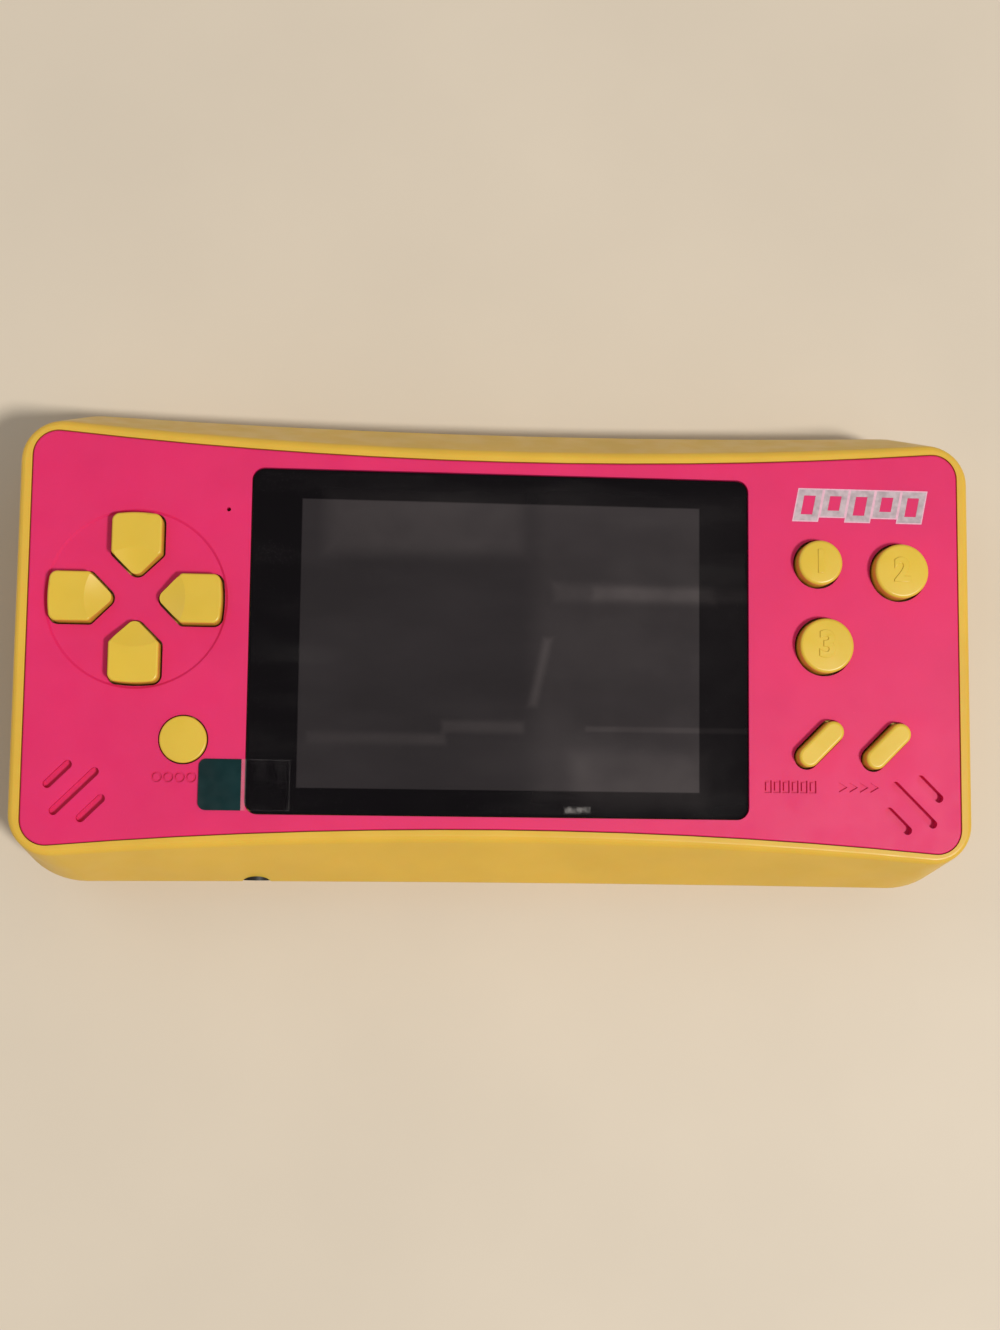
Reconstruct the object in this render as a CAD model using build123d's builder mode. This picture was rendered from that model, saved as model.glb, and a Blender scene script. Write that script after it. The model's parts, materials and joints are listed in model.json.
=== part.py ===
from build123d import *
import os
from math import cos, hypot, radians, sin, sqrt

# Handheld game console with a round-cornered front, lying on its back.
# Origin: middle of the flat back. +X to the right of the screen, +Y to its top edge, +Z out of the front.
# Lengths are in millimetres and angles in degrees.

# Walls of the case
plate_thickness = 1.6
deck_thickness = 1.4
wall = 1.8

# Faceplate, whose long edges draw in towards the middle
plate_end_margin = 2.0
plate_waist = 3.4
plate_corner_radius = 3.8
plate_gap = 0.12
plate_edge_round = 0.25

# Rim round the faceplate, and how far the walls flare out from it down to the parting line
rim_side_width = 1.75
rim_end_width = 1.6
rim_mid_width = 1.6
rim_corner_growth = 2.1
rim_edge_round = 0.8
side_flare = 1.75
end_flare = 4.0
top_mid_flare = 5.7
bottom_mid_flare = 7.1
corner_flare = 6.1
parting_edge_round = 0.9
edge_turns = (0, 25, 50, 75, 90)

# Back half, which draws in from the parting line to a flat back
back_draw_in = 2.2
back_edge_round = 5.5
lip_thickness = 0.8
lip_height = 1.4
lip_clearance = 0.15
inner_wall_gap = 0.3

# Window, film and display
window_x = -0.15
window_side_margin = 8.0
window_end_margin = 3.6
window_corner_radius = 1.8
window_thickness = 1.15
window_gap = 0.15
film_inset = 0.35
film_thickness = 0.08
film_lift = 0.02
film_bridge = 2.0
film_dip = 1.0
tab_outer_reach = 7.0
tab_inner_reach = 6.6
tab_width = 7.7
tab_edge_gap = 0.4
tab_corner_radius = 1.2
tab_thickness = 0.12
lcd_x = -0.1
lcd_view_half_width = 30.3
lcd_view_half_height = 22.7
lcd_view_margin = 0.8
lcd_border_side = 2.9
lcd_border_end = 2.6
lcd_glass_thickness = 1.2
backlight_thickness = 1.8
backlight_growth = 0.5
gasket_thickness = 0.5
gasket_width = 1.6
foam_thickness = 1.4
foam_inset = 6.0
ribbon_width = 20.0
ribbon_thickness = 0.2
ribbon_bend_radius = 0.7
ribbon_rise = 0.55
connector_gap = 3.5
connector_length = 22.5
connector_width = 3.4
connector_height = 1.3

# Main board, its posts and its screws
board_thickness = 1.2
board_roof_gap = 0.3
board_side_gap = 2.0
board_corner_radius = 6.0
board_boss_gap = 0.4
post_gap = 1.7
post_reach_share = 0.6
post_radius = 2.0
screw_core_radius = 0.8
screw_fit_gap = 0.06
screw_hole_radius = 1.15
board_screw_length = 3.6
board_screw_head_radius = 1.7
board_screw_head_height = 1.1
driver_slot_length = 2.2
driver_slot_width = 0.5
driver_slot_depth = 0.6

# Case screws: four near the corners and two above the display
case_screw_side_inset = 4.6
case_screw_end_inset = 4.1
top_screw_gap = 1.7
boss_radius = 2.5
back_post_radius = 3.3
case_screw_length = 8.0
case_screw_head_radius = 1.95
case_screw_head_height = 1.4
case_screw_seat_drop = 4.5
counterbore_radius = 2.2
boss_split_gap = 0.1
pilot_spare_depth = 1.0

# Places on the front, as shares of the width beside the window and of the half-height of the faceplate
dpad_shares = (0.516, 0.183)
turbo_shares = (0.327, 0.425)
b_shares = (0.714, 0.392)
a_shares = (0.355, 0.017)
reset_shares = (0.288, -0.485)
select_shares = (0.327, -0.463)
start_shares = (0.643, -0.469)
left_slot_shares = (0.765, -0.735)
right_slot_shares = (0.777, -0.751)
pinhole_shares = (0.112, 0.625)
select_mark_shares = (0.192, -0.67)
start_mark_shares = (0.509, -0.67)
reset_mark_shares = (0.326, -0.662)
speaker_shares = (0.667, -0.606)
processor_shares = (0.41, 0.19)
memory_shares = (0.41, -0.38)
crystal_shares = (0.096, -0.16)
resistor_shares = (-0.02, 0.0)
right_can_shares = [(0.171, 0.637), (0.411, 0.637)]
left_can_shares = (0.201, 0.382)

# Places along the bottom and top edges, as shares of the half-width of the faceplate
jack_share = -0.519
switch_share = -0.25
wheel_share = 0.25

# Direction keys
key_tip = 3.1
key_shoulder = 6.8
key_outer = 12.55
key_crown = 0.35
key_half_width = 3.75
key_tip_round = 1.2
key_corner_round = 1.2
key_shoulder_round = 0.6
key_height = 2.0
key_edge_round = 0.35
key_dish_radius = 7.5
key_dish_drop = 1.1
key_mid = 8.5
dish_margin = 0.8
dish_depth = 0.3
dish_slope_width = 0.35
dish_side_room = 5.9
key_mat_reach = 4.6

# Round keys and pill keys
turbo_radius = 3.5
action_radius = 4.25
action_height = 2.2
action_crown = 0.15
action_mat_reach = 5.4
reset_radius = 3.53
reset_height = 0.7
reset_crown = 0.12
reset_edge_round = 0.25
reset_gap = 0.2
reset_mat_reach = 4.4
pill_length = 8.7
pill_width = 3.3
pill_tilt = 45.0
pill_height = 2.0
pill_mat_reach = 4.0
cap_gap = 0.35
cap_edge_round = 0.5
collar_width = 0.9
collar_height = 1.0
collar_rest_gap = 0.05
foot_radius = 1.6
foot_height = 0.6

# Rubber mats under the keys
mat_thickness = 0.8
dome_base_radius = 3.0
dome_top_radius = 1.7
dome_stub_height = 0.5
dome_skin = 0.5

# Sound slots, pinhole and engraved marks
slot_width = 1.35
slot_long = 9.6
slot_short = 5.4
slot_spacing = 3.55
slot_tilt = 45.0
slot_depth = 1.25
pinhole_radius = 0.32
mark_depth = 0.3
mark_stroke = 0.3
mark_height = 1.9
tile_mark_width = 1.15
tile_mark_pitch = 1.4
tile_mark_count = 6
pointer_mark_radius = 0.9
pointer_mark_pitch = 1.65
pointer_mark_count = 4
ring_mark_radius = 0.8
ring_mark_pitch = 1.7
ring_mark_count = 4

# Faceplate pegs
peg_side_inset = 2.3
peg_reach_share = 0.43
peg_radius = 1.0
peg_gap = 0.1

# Speaker
speaker_key_gap = 0.15
speaker_frame_height = 2.4
speaker_rim = 1.1
speaker_floor = 0.6
speaker_magnet_radius = 4.2
speaker_magnet_height = 1.4
speaker_cone_gap = 0.7
speaker_cap_radius = 2.2
speaker_cap_height = 0.6
speaker_skin = 0.25
speaker_ring_gap = 0.2
speaker_ring_width = 0.9
speaker_ring_height = 2.8

# Headphone and picture socket in the bottom edge
jack_body_length = 12.0
jack_body_wall = 0.7
jack_body_rise = 1.2
jack_nose_wall = 0.4
jack_nose_recess = 0.5
jack_bore_radius = 1.8
jack_bore_length = 11.0
jack_opening_gap = 0.1
jack_leg_width = 1.0
jack_leg_thickness = 0.4
jack_leg_length = 1.6
jack_leg_pitch = 3.6

# Power switch in the top edge
switch_body_width = 8.6
switch_body_length = 4.4
switch_floor = 1.15
switch_travel = 3.0
switch_knob_width = 3.2
switch_knob_height = 1.7
switch_knob_drop = 1.6
switch_knob_proud = 0.5
switch_pocket_depth = 2.6
switch_gap = 0.3
grip_count = 4
grip_width = 0.35
grip_depth = 0.3

# Volume wheel in the top edge
wheel_thickness = 2.0
wheel_drop = 0.4
wheel_proud = 0.6
wheel_bay_gap = 1.55
wheel_gap = 0.45
wheel_notch_count = 40
wheel_notch_depth = 0.35
wheel_notch_width = 0.6
wheel_shaft_radius = 1.5
wheel_shaft_gap = 0.05
wheel_face_gap = 0.2
pot_body_radius = 3.8
pot_cap_radius = 2.6
pot_cap_height = 0.7

# Battery bay: three small cells side by side
cell_count = 3
cell_radius = 5.25
cell_length = 44.5
cell_nub_radius = 1.9
cell_nub_height = 0.8
cell_gap = 0.4
cell_side_gap = 0.35
cell_floor_gap = 0.4
cell_roof_gap = 0.1
cell_end_round = 0.4
bay_wall = 2.0
bay_roof = 1.0
contact_thickness = 0.4
contact_width = 7.0
contact_low = 3.4
contact_high = 3.6
spring_length = 4.2
spring_radius = 2.6
spring_wire_radius = 0.3
spring_turns = 4

# Battery door
door_thickness = 1.6
door_gap = 0.2
door_ledge = 1.0
door_seat_gap = 0.1
door_corner_radius = 1.0
door_tab_width = 3.0
door_tab_height = 1.0
door_tab_reach = 1.6
door_tab_root = 1.4
door_tab_pocket_rise = 2.4
door_tab_pocket_gap = 0.5
door_latch_width = 8.0
door_latch_thickness = 0.9
door_latch_height = 2.0
door_latch_inset = 0.2
door_latch_room = 0.6
finger_dip_radius = 6.0
finger_dip_depth = 0.8
door_rib_count = 6
door_rib_pitch = 2.0
door_rib_width = 0.8
door_rib_length = 14.0
door_rib_depth = 0.35

# Parts on the board
led_radius = 1.5
led_height = 3.9
led_base_radius = 1.8
led_base_height = 0.8
processor_side = 10.0
chip_height = 1.2
memory_length = 14.0
memory_width = 8.0
leg_count = 8
leg_pitch = 1.27
leg_width = 0.5
leg_reach = 1.2
leg_thickness = 0.3
crystal_length = 10.0
crystal_width = 4.0
crystal_height = 3.4
can_radius = 2.5
can_height = 5.4
can_base_height = 0.8
chip_resistor_count = 5
chip_resistor_pitch = 2.5
chip_resistor_length = 2.0
chip_resistor_width = 1.25
chip_resistor_height = 0.6

# One overrun serves every cut
overrun = 2.0

# Battery bay sizes worked out from the cells, springs and contacts
cell_pitch = 2 * cell_radius + cell_gap
bay_half_length = (cell_length + spring_length + 2 * contact_thickness) / 2
bay_half_width = (cell_count - 1) / 2 * cell_pitch + cell_radius + cell_side_gap
cell_axis_z = door_thickness + cell_floor_gap + cell_radius
bay_top = cell_axis_z + cell_radius + cell_roof_gap
roof_top = bay_top + bay_roof
door_seat_z = door_thickness + door_seat_gap
door_recess_half_length = bay_half_length + door_ledge
door_recess_half_width = bay_half_width + door_ledge
door_half_length = door_recess_half_length - door_gap
door_half_width = door_recess_half_width - door_gap

# Heights worked out from the bay up through the stack to the front
board_bottom = roof_top + board_roof_gap
board_top = board_bottom + board_thickness
backlight_bottom = board_top + foam_thickness
backlight_top = backlight_bottom + backlight_thickness
lcd_top = backlight_top + lcd_glass_thickness
deck_bottom = lcd_top + gasket_thickness
plate_bottom = deck_bottom + deck_thickness
case_depth = plate_bottom + plate_thickness
jack_nose_radius = jack_bore_radius + jack_nose_wall
jack_half_height = jack_nose_radius + jack_body_rise
jack_body_width = 2 * (jack_nose_radius + jack_body_wall)
back_depth = board_bottom - jack_half_height
case_screw_seat = back_depth - case_screw_seat_drop
switch_knob_z = back_depth - switch_knob_drop
wheel_top = back_depth - wheel_drop
wheel_bottom = wheel_top - wheel_thickness
mat_top = board_top + mat_thickness
collar_top = deck_bottom - collar_rest_gap
collar_bottom = collar_top - collar_height
foot_bottom = collar_bottom - foot_height
window_top = plate_bottom + window_thickness
lip_top = back_depth + lip_height

# Widths worked out from the display and the direction keys outwards
window_half_width = lcd_view_half_width + window_side_margin
window_half_height = lcd_view_half_height + window_end_margin
lcd_half_width = lcd_view_half_width + lcd_border_side
lcd_half_height = lcd_view_half_height + lcd_border_end
backlight_half_width = lcd_half_width + backlight_growth
backlight_half_height = lcd_half_height + backlight_growth
dish_radius = key_outer + key_crown + dish_margin
side_width = 2 * dish_radius + dish_side_room
plate_half_width = window_half_width + side_width
plate_half_height = window_half_height + plate_end_margin + plate_waist
rim_half_width = plate_half_width + rim_side_width
rim_half_height = plate_half_height + rim_end_width
rim_middle = plate_half_height - plate_waist + rim_mid_width
rim_corner_radius = plate_corner_radius + rim_corner_growth
base_half_width = rim_half_width + side_flare
base_half_height = rim_half_height + end_flare
base_top_middle = rim_middle + top_mid_flare
base_bottom_middle = rim_middle + bottom_mid_flare
base_corner_radius = rim_corner_radius + corner_flare


def front_place(side, shares):
    """Place on the left (side -1) or right (side 1) of the window, from its two shares."""
    return (side * (window_half_width + shares[0] * side_width), shares[1] * plate_half_height)


dpad_x, dpad_y = front_place(-1, dpad_shares)
turbo_place = front_place(1, turbo_shares)
b_place = front_place(1, b_shares)
a_place = front_place(1, a_shares)
reset_place = front_place(-1, reset_shares)
select_place = front_place(1, select_shares)
start_place = front_place(1, start_shares)
slot_left_middle = front_place(-1, left_slot_shares)
slot_right_middle = front_place(1, right_slot_shares)
pinhole_place = front_place(-1, pinhole_shares)
select_mark_place = front_place(1, select_mark_shares)
start_mark_place = front_place(1, start_mark_shares)
reset_mark_place = front_place(-1, reset_mark_shares)
speaker_place = front_place(-1, speaker_shares)
speaker_x, speaker_y = speaker_place
processor_place = front_place(1, processor_shares)
memory_place = front_place(1, memory_shares)
crystal_place = front_place(1, crystal_shares)
chip_resistor_place = front_place(1, resistor_shares)
can_places = [front_place(1, shares) for shares in right_can_shares] + [front_place(-1, left_can_shares)]
jack_x = jack_share * plate_half_width
switch_x = switch_share * plate_half_width
wheel_x = wheel_share * plate_half_width

window_left = window_x - window_half_width
tab_left = window_left - tab_outer_reach
tab_inner_end = window_left + tab_inner_reach
tab_low = tab_edge_gap - window_half_height
tab_high = tab_low + tab_width
peg_x = plate_half_width - peg_side_inset
peg_y = peg_reach_share * plate_half_height
speaker_room = hypot(speaker_x - reset_place[0], speaker_y - reset_place[1]) - speaker_key_gap
speaker_radius = speaker_room - reset_radius - collar_width - speaker_ring_gap - speaker_ring_width

case_screw_x = plate_half_width - case_screw_side_inset
case_screw_y = plate_half_height - case_screw_end_inset
top_screw_x = lcd_x + backlight_half_width + top_screw_gap + boss_radius
post_reach_x = backlight_half_width + post_gap + post_radius
post_reach_y = post_reach_share * backlight_half_height
corner_screw_places = [
    (side * case_screw_x, end * case_screw_y) for side in (-1, 1) for end in (-1, 1)
]
top_screw_places = [(side * top_screw_x, case_screw_y) for side in (-1, 1)]
case_screw_places = corner_screw_places + top_screw_places
board_screw_places = [
    (lcd_x + side * post_reach_x, end * post_reach_y) for side in (-1, 1) for end in (-1, 1)
]
key_angles = {"dpad_right": 0, "dpad_up": 90, "dpad_left": 180, "dpad_down": 270}

os.makedirs("parts", exist_ok=True)


def save(part, label):
    """Name a finished piece and write it to its own file."""
    part.label = label
    export_step(part, f"parts/{label}.step")


def waisted_outline(half_width, half_height, top_middle, bottom_middle, corner_radius):
    """Face with straight ends, long edges that draw in to their middles, and round corners."""
    with BuildSketch(mode=Mode.PRIVATE) as face:
        with BuildLine():
            Line((-half_width, -half_height), (-half_width, half_height))
            ThreePointArc((-half_width, half_height), (0, top_middle), (half_width, half_height))
            Line((half_width, half_height), (half_width, -half_height))
            ThreePointArc((half_width, -half_height), (0, -bottom_middle), (-half_width, -half_height))
        make_face()
        fillet(face.vertices(), radius=corner_radius)
    return face.sketch


def plate_outline(growth):
    """Outline of the faceplate, grown by a gap."""
    return waisted_outline(
        plate_half_width + growth,
        plate_half_height + growth,
        plate_half_height - plate_waist + growth,
        plate_half_height - plate_waist + growth,
        plate_corner_radius + growth,
    )


def flare_share(height):
    """0 at the parting line and 1 at the front face."""
    return (height - back_depth) / (case_depth - back_depth)


def front_outline(height, inset):
    """Outline of the front half at a height, drawn in by inset."""
    share = flare_share(height)
    return waisted_outline(
        base_half_width + share * (rim_half_width - base_half_width) - inset,
        base_half_height + share * (rim_half_height - base_half_height) - inset,
        base_top_middle + share * (rim_middle - base_top_middle) - inset,
        base_bottom_middle + share * (rim_middle - base_bottom_middle) - inset,
        base_corner_radius + share * (rim_corner_radius - base_corner_radius) - inset,
    )


def base_outline(inset):
    """Outline at the parting line, drawn in by inset."""
    return front_outline(back_depth, inset)


def edge_y(side, x, height):
    """Distance of the top (side 1) or bottom (side -1) edge of the front half, at x and a height."""
    share = flare_share(height)
    base_middle = base_top_middle if side > 0 else base_bottom_middle
    half_width = base_half_width + share * (rim_half_width - base_half_width)
    half_height = base_half_height + share * (rim_half_height - base_half_height)
    middle = base_middle + share * (rim_middle - base_middle)
    sagitta = half_height - middle
    radius = (half_width**2 + sagitta**2) / (2 * sagitta)
    return middle + radius - sqrt(radius**2 - x**2)


def back_edge_y(side, x, height):
    """Distance of the top or bottom edge of the back half, at x and a height."""
    drop_share = (back_depth - height) / back_depth
    outer_edge = edge_y(side, x, back_depth) - parting_edge_round
    return outer_edge - drop_share * (back_draw_in - parting_edge_round)


def free_y(side, x):
    """Distance that is free inside both the locating lip and the leaning front wall."""
    inside_lip = edge_y(side, x, lip_top) - wall - lip_clearance - lip_thickness
    inside_wall = edge_y(side, x, board_bottom) - wall
    return min(inside_lip, inside_wall)


def free_x():
    """Half-width that is free inside the locating lip."""
    lip_share = flare_share(lip_top)
    inside_wall = base_half_width + lip_share * (rim_half_width - base_half_width) - wall
    return inside_wall - lip_clearance - lip_thickness


def upright_plane(place):
    """Plane through a place on the front, upright and facing the bottom edge of the console."""
    return Plane(origin=(place[0], place[1], 0), x_dir=(1, 0, 0), z_dir=(0, -1, 0))


def key_plane(angle, height):
    """Plane at the middle of the direction keys, turned so that +X points along one of them."""
    along = (cos(radians(angle)), sin(radians(angle)), 0)
    return Plane(origin=(dpad_x, dpad_y, height), x_dir=along, z_dir=(0, 0, 1))


def key_outline(growth):
    """Five-sided direction key that points at the middle, grown by a gap."""
    with BuildSketch(mode=Mode.PRIVATE) as face:
        with BuildLine():
            Polyline(
                (key_outer, key_half_width),
                (key_shoulder, key_half_width),
                (key_tip, 0),
                (key_shoulder, -key_half_width),
                (key_outer, -key_half_width),
            )
            ThreePointArc(
                (key_outer, -key_half_width),
                (key_outer + key_crown, 0),
                (key_outer, key_half_width),
            )
        make_face()
        fillet(face.vertices().group_by(Axis.X)[0], radius=key_tip_round)
        fillet(face.vertices().group_by(Axis.X)[-1], radius=key_corner_round)
        fillet(
            [v for v in face.vertices() if abs(v.X - key_shoulder) < key_crown],
            radius=key_shoulder_round,
        )
        if growth > 0:
            offset(amount=growth, kind=Kind.ARC)
    return face.sketch


def pill_outline(place, growth):
    """Tilted pill key outline, grown by a gap."""
    with BuildSketch(mode=Mode.PRIVATE) as face:
        with Locations(place):
            SlotOverall(pill_length + 2 * growth, pill_width + 2 * growth, rotation=pill_tilt)
    return face.sketch


def slot_outlines(middle, tilt, lengths):
    """Three slanted sound slots, side by side along the line square to them."""
    with BuildSketch(mode=Mode.PRIVATE) as face:
        for step, length in zip((-1, 0, 1), lengths):
            across = radians(tilt - 90)
            place = (
                middle[0] + step * slot_spacing * cos(across),
                middle[1] + step * slot_spacing * sin(across),
            )
            with Locations(place):
                SlotOverall(length, slot_width, rotation=tilt)
    return face.sketch


left_slots = slot_outlines(slot_left_middle, slot_tilt, (slot_short, slot_long, slot_short))
right_slots = slot_outlines(slot_right_middle, -slot_tilt, (slot_short, slot_long, slot_short))


def key_holes(height):
    """Outlines of every hole through the front, on the plane at a height."""
    with BuildSketch(Plane.XY.offset(height), mode=Mode.PRIVATE) as holes:
        for angle in key_angles.values():
            with Locations(Location((dpad_x, dpad_y, 0), (0, 0, angle))):
                add(key_outline(cap_gap))
        with Locations(turbo_place):
            Circle(turbo_radius + cap_gap)
        with Locations(a_place, b_place):
            Circle(action_radius + cap_gap)
        with Locations(reset_place):
            Circle(reset_radius + reset_gap)
        add(pill_outline(select_place, cap_gap))
        add(pill_outline(start_place, cap_gap))
        with Locations(pinhole_place):
            Circle(pinhole_radius)
    return holes.sketch


# Engraved marks: a row of open tiles by select, of pointers by start and of rings by reset
with BuildSketch(Plane.XY.offset(case_depth)) as engraved_marks:
    with Locations(select_mark_place):
        with GridLocations(tile_mark_pitch, 0, tile_mark_count, 1):
            Rectangle(tile_mark_width, mark_height)
            Rectangle(
                tile_mark_width - 2 * mark_stroke,
                mark_height - 2 * mark_stroke,
                mode=Mode.SUBTRACT,
            )
    with Locations(start_mark_place):
        with GridLocations(pointer_mark_pitch, 0, pointer_mark_count, 1):
            RegularPolygon(radius=pointer_mark_radius, side_count=3)
    with Locations(reset_mark_place):
        with GridLocations(ring_mark_pitch, 0, ring_mark_count, 1):
            Circle(ring_mark_radius)
            Circle(ring_mark_radius - mark_stroke, mode=Mode.SUBTRACT)

# Faceplate: thin coloured panel let into the front
with BuildPart() as faceplate:
    with BuildSketch(Plane.XY.offset(plate_bottom)):
        add(plate_outline(0))
    extrude(amount=plate_thickness)
    fillet(faceplate.faces().sort_by(Axis.Z)[-1].edges(), radius=plate_edge_round)
    with BuildSketch(Plane.XY.offset(case_depth)):
        with Locations((window_x, 0)):
            RectangleRounded(
                2 * (window_half_width + window_gap),
                2 * (window_half_height + window_gap),
                window_corner_radius + window_gap,
            )
    extrude(amount=-plate_thickness, mode=Mode.SUBTRACT)
    with Locations((dpad_x, dpad_y, case_depth)):
        Cone(
            dish_radius - dish_slope_width,
            dish_radius,
            dish_depth,
            align=(Align.CENTER, Align.CENTER, Align.MAX),
            mode=Mode.SUBTRACT,
        )
    extrude(key_holes(case_depth), amount=-plate_thickness, mode=Mode.SUBTRACT)
    with BuildSketch(Plane.XY.offset(case_depth)):
        add(left_slots)
        add(right_slots)
    extrude(amount=-slot_depth, mode=Mode.SUBTRACT)
    add(engraved_marks.sketch)
    extrude(amount=-mark_depth, mode=Mode.SUBTRACT)
    with BuildSketch(Plane.XY.offset(plate_bottom)):
        with GridLocations(2 * peg_x, 2 * peg_y, 2, 2):
            Circle(peg_radius)
    extrude(amount=-deck_thickness)
save(faceplate.part, "faceplate")

# Front shell: rim, flared walls and the deck that carries the faceplate, display and keys
with BuildPart() as front_shell:
    for turn in reversed(edge_turns):
        edge_height = back_depth + parting_edge_round * (1 - sin(radians(turn)))
        edge_inset = parting_edge_round * (1 - cos(radians(turn)))
        with BuildSketch(Plane.XY.offset(edge_height)):
            add(front_outline(edge_height, edge_inset))
    for turn in edge_turns:
        edge_height = case_depth - rim_edge_round * (1 - sin(radians(turn)))
        edge_inset = rim_edge_round * (1 - cos(radians(turn)))
        with BuildSketch(Plane.XY.offset(edge_height)):
            add(front_outline(edge_height, edge_inset))
    loft(ruled=True)
    with BuildSketch(Plane.XY.offset(back_depth)):
        add(base_outline(wall))
    with BuildSketch(Plane.XY.offset(deck_bottom)):
        add(front_outline(deck_bottom, wall))
    loft(ruled=True, mode=Mode.SUBTRACT)
    with BuildSketch(Plane.XY.offset(case_depth)):
        add(plate_outline(plate_gap))
    extrude(amount=-plate_thickness, mode=Mode.SUBTRACT)
    with BuildSketch(Plane.XY.offset(plate_bottom)):
        with Locations((lcd_x, 0)):
            Rectangle(
                2 * (lcd_view_half_width + lcd_view_margin),
                2 * (lcd_view_half_height + lcd_view_margin),
            )
        with GridLocations(2 * peg_x, 2 * peg_y, 2, 2):
            Circle(peg_radius + peg_gap)
    extrude(amount=-deck_thickness, mode=Mode.SUBTRACT)
    extrude(key_holes(plate_bottom), amount=-deck_thickness, mode=Mode.SUBTRACT)
    with BuildSketch(Plane.XY.offset(back_depth)):
        with Locations(*case_screw_places):
            Circle(boss_radius)
    extrude(amount=deck_bottom - back_depth)
    with BuildSketch(Plane.XY.offset(board_top)):
        with Locations(*board_screw_places):
            Circle(post_radius)
    extrude(amount=deck_bottom - board_top)
    with BuildSketch(Plane.XY.offset(deck_bottom)):
        with Locations(speaker_place):
            Circle(speaker_radius + speaker_ring_gap + speaker_ring_width)
            Circle(speaker_radius + speaker_ring_gap, mode=Mode.SUBTRACT)
    extrude(amount=-speaker_ring_height)
    with BuildSketch(Plane.XY.offset(back_depth)):
        with Locations(*case_screw_places):
            Circle(screw_core_radius + screw_fit_gap)
    extrude(amount=case_screw_length - (back_depth - case_screw_seat) + pilot_spare_depth, mode=Mode.SUBTRACT)
    with BuildSketch(Plane.XY.offset(board_top)):
        with Locations(*board_screw_places):
            Circle(screw_core_radius + screw_fit_gap)
    extrude(amount=board_screw_length, mode=Mode.SUBTRACT)
    with BuildSketch(Plane.XZ.offset(base_half_height + overrun)):
        with Locations((jack_x, back_depth)):
            Circle(jack_nose_radius + jack_opening_gap)
    extrude(amount=-(overrun + base_half_height - base_bottom_middle + bottom_mid_flare), mode=Mode.SUBTRACT)
save(front_shell.part, "front_shell")


def tub(top_inset, foot_inset, floor_height, edge_round):
    """Solid of the back half, drawn in at its top and at its floor, which is raised to floor_height."""
    with BuildPart() as solid:
        with BuildSketch(Plane.XY.offset(floor_height)):
            add(base_outline(foot_inset))
        with BuildSketch(Plane.XY.offset(back_depth)):
            add(base_outline(top_inset))
        loft(ruled=True)
        fillet(solid.faces().sort_by(Axis.Z)[0].edges(), radius=edge_round)
    return solid.part


inner_foot_inset = wall + back_draw_in * (back_depth - wall) / back_depth
tub_outside = tub(parting_edge_round, back_draw_in, 0, back_edge_round)
tub_inside = tub(wall, inner_foot_inset, wall, back_edge_round - wall)
wheel_rim_y = back_edge_y(1, wheel_x, wheel_bottom + wheel_thickness / 2) + wheel_proud
wheel_radius = (wheel_rim_y - bay_half_width - bay_wall - wheel_bay_gap) / 2
wheel_centre_y = wheel_rim_y - wheel_radius
switch_front_y = free_y(1, switch_x) - inner_wall_gap
knob_tip_y = back_edge_y(1, switch_x, switch_knob_z) + switch_knob_proud
jack_wall_y = edge_y(-1, jack_x, back_depth)
cell_rows = [(row - (cell_count - 1) / 2) * cell_pitch for row in range(cell_count)]
tab_rows = [(row - (cell_count - 2) / 2) * cell_pitch for row in range(cell_count - 1)]
slot_bottom = switch_knob_z - switch_knob_height / 2 - switch_gap

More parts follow.
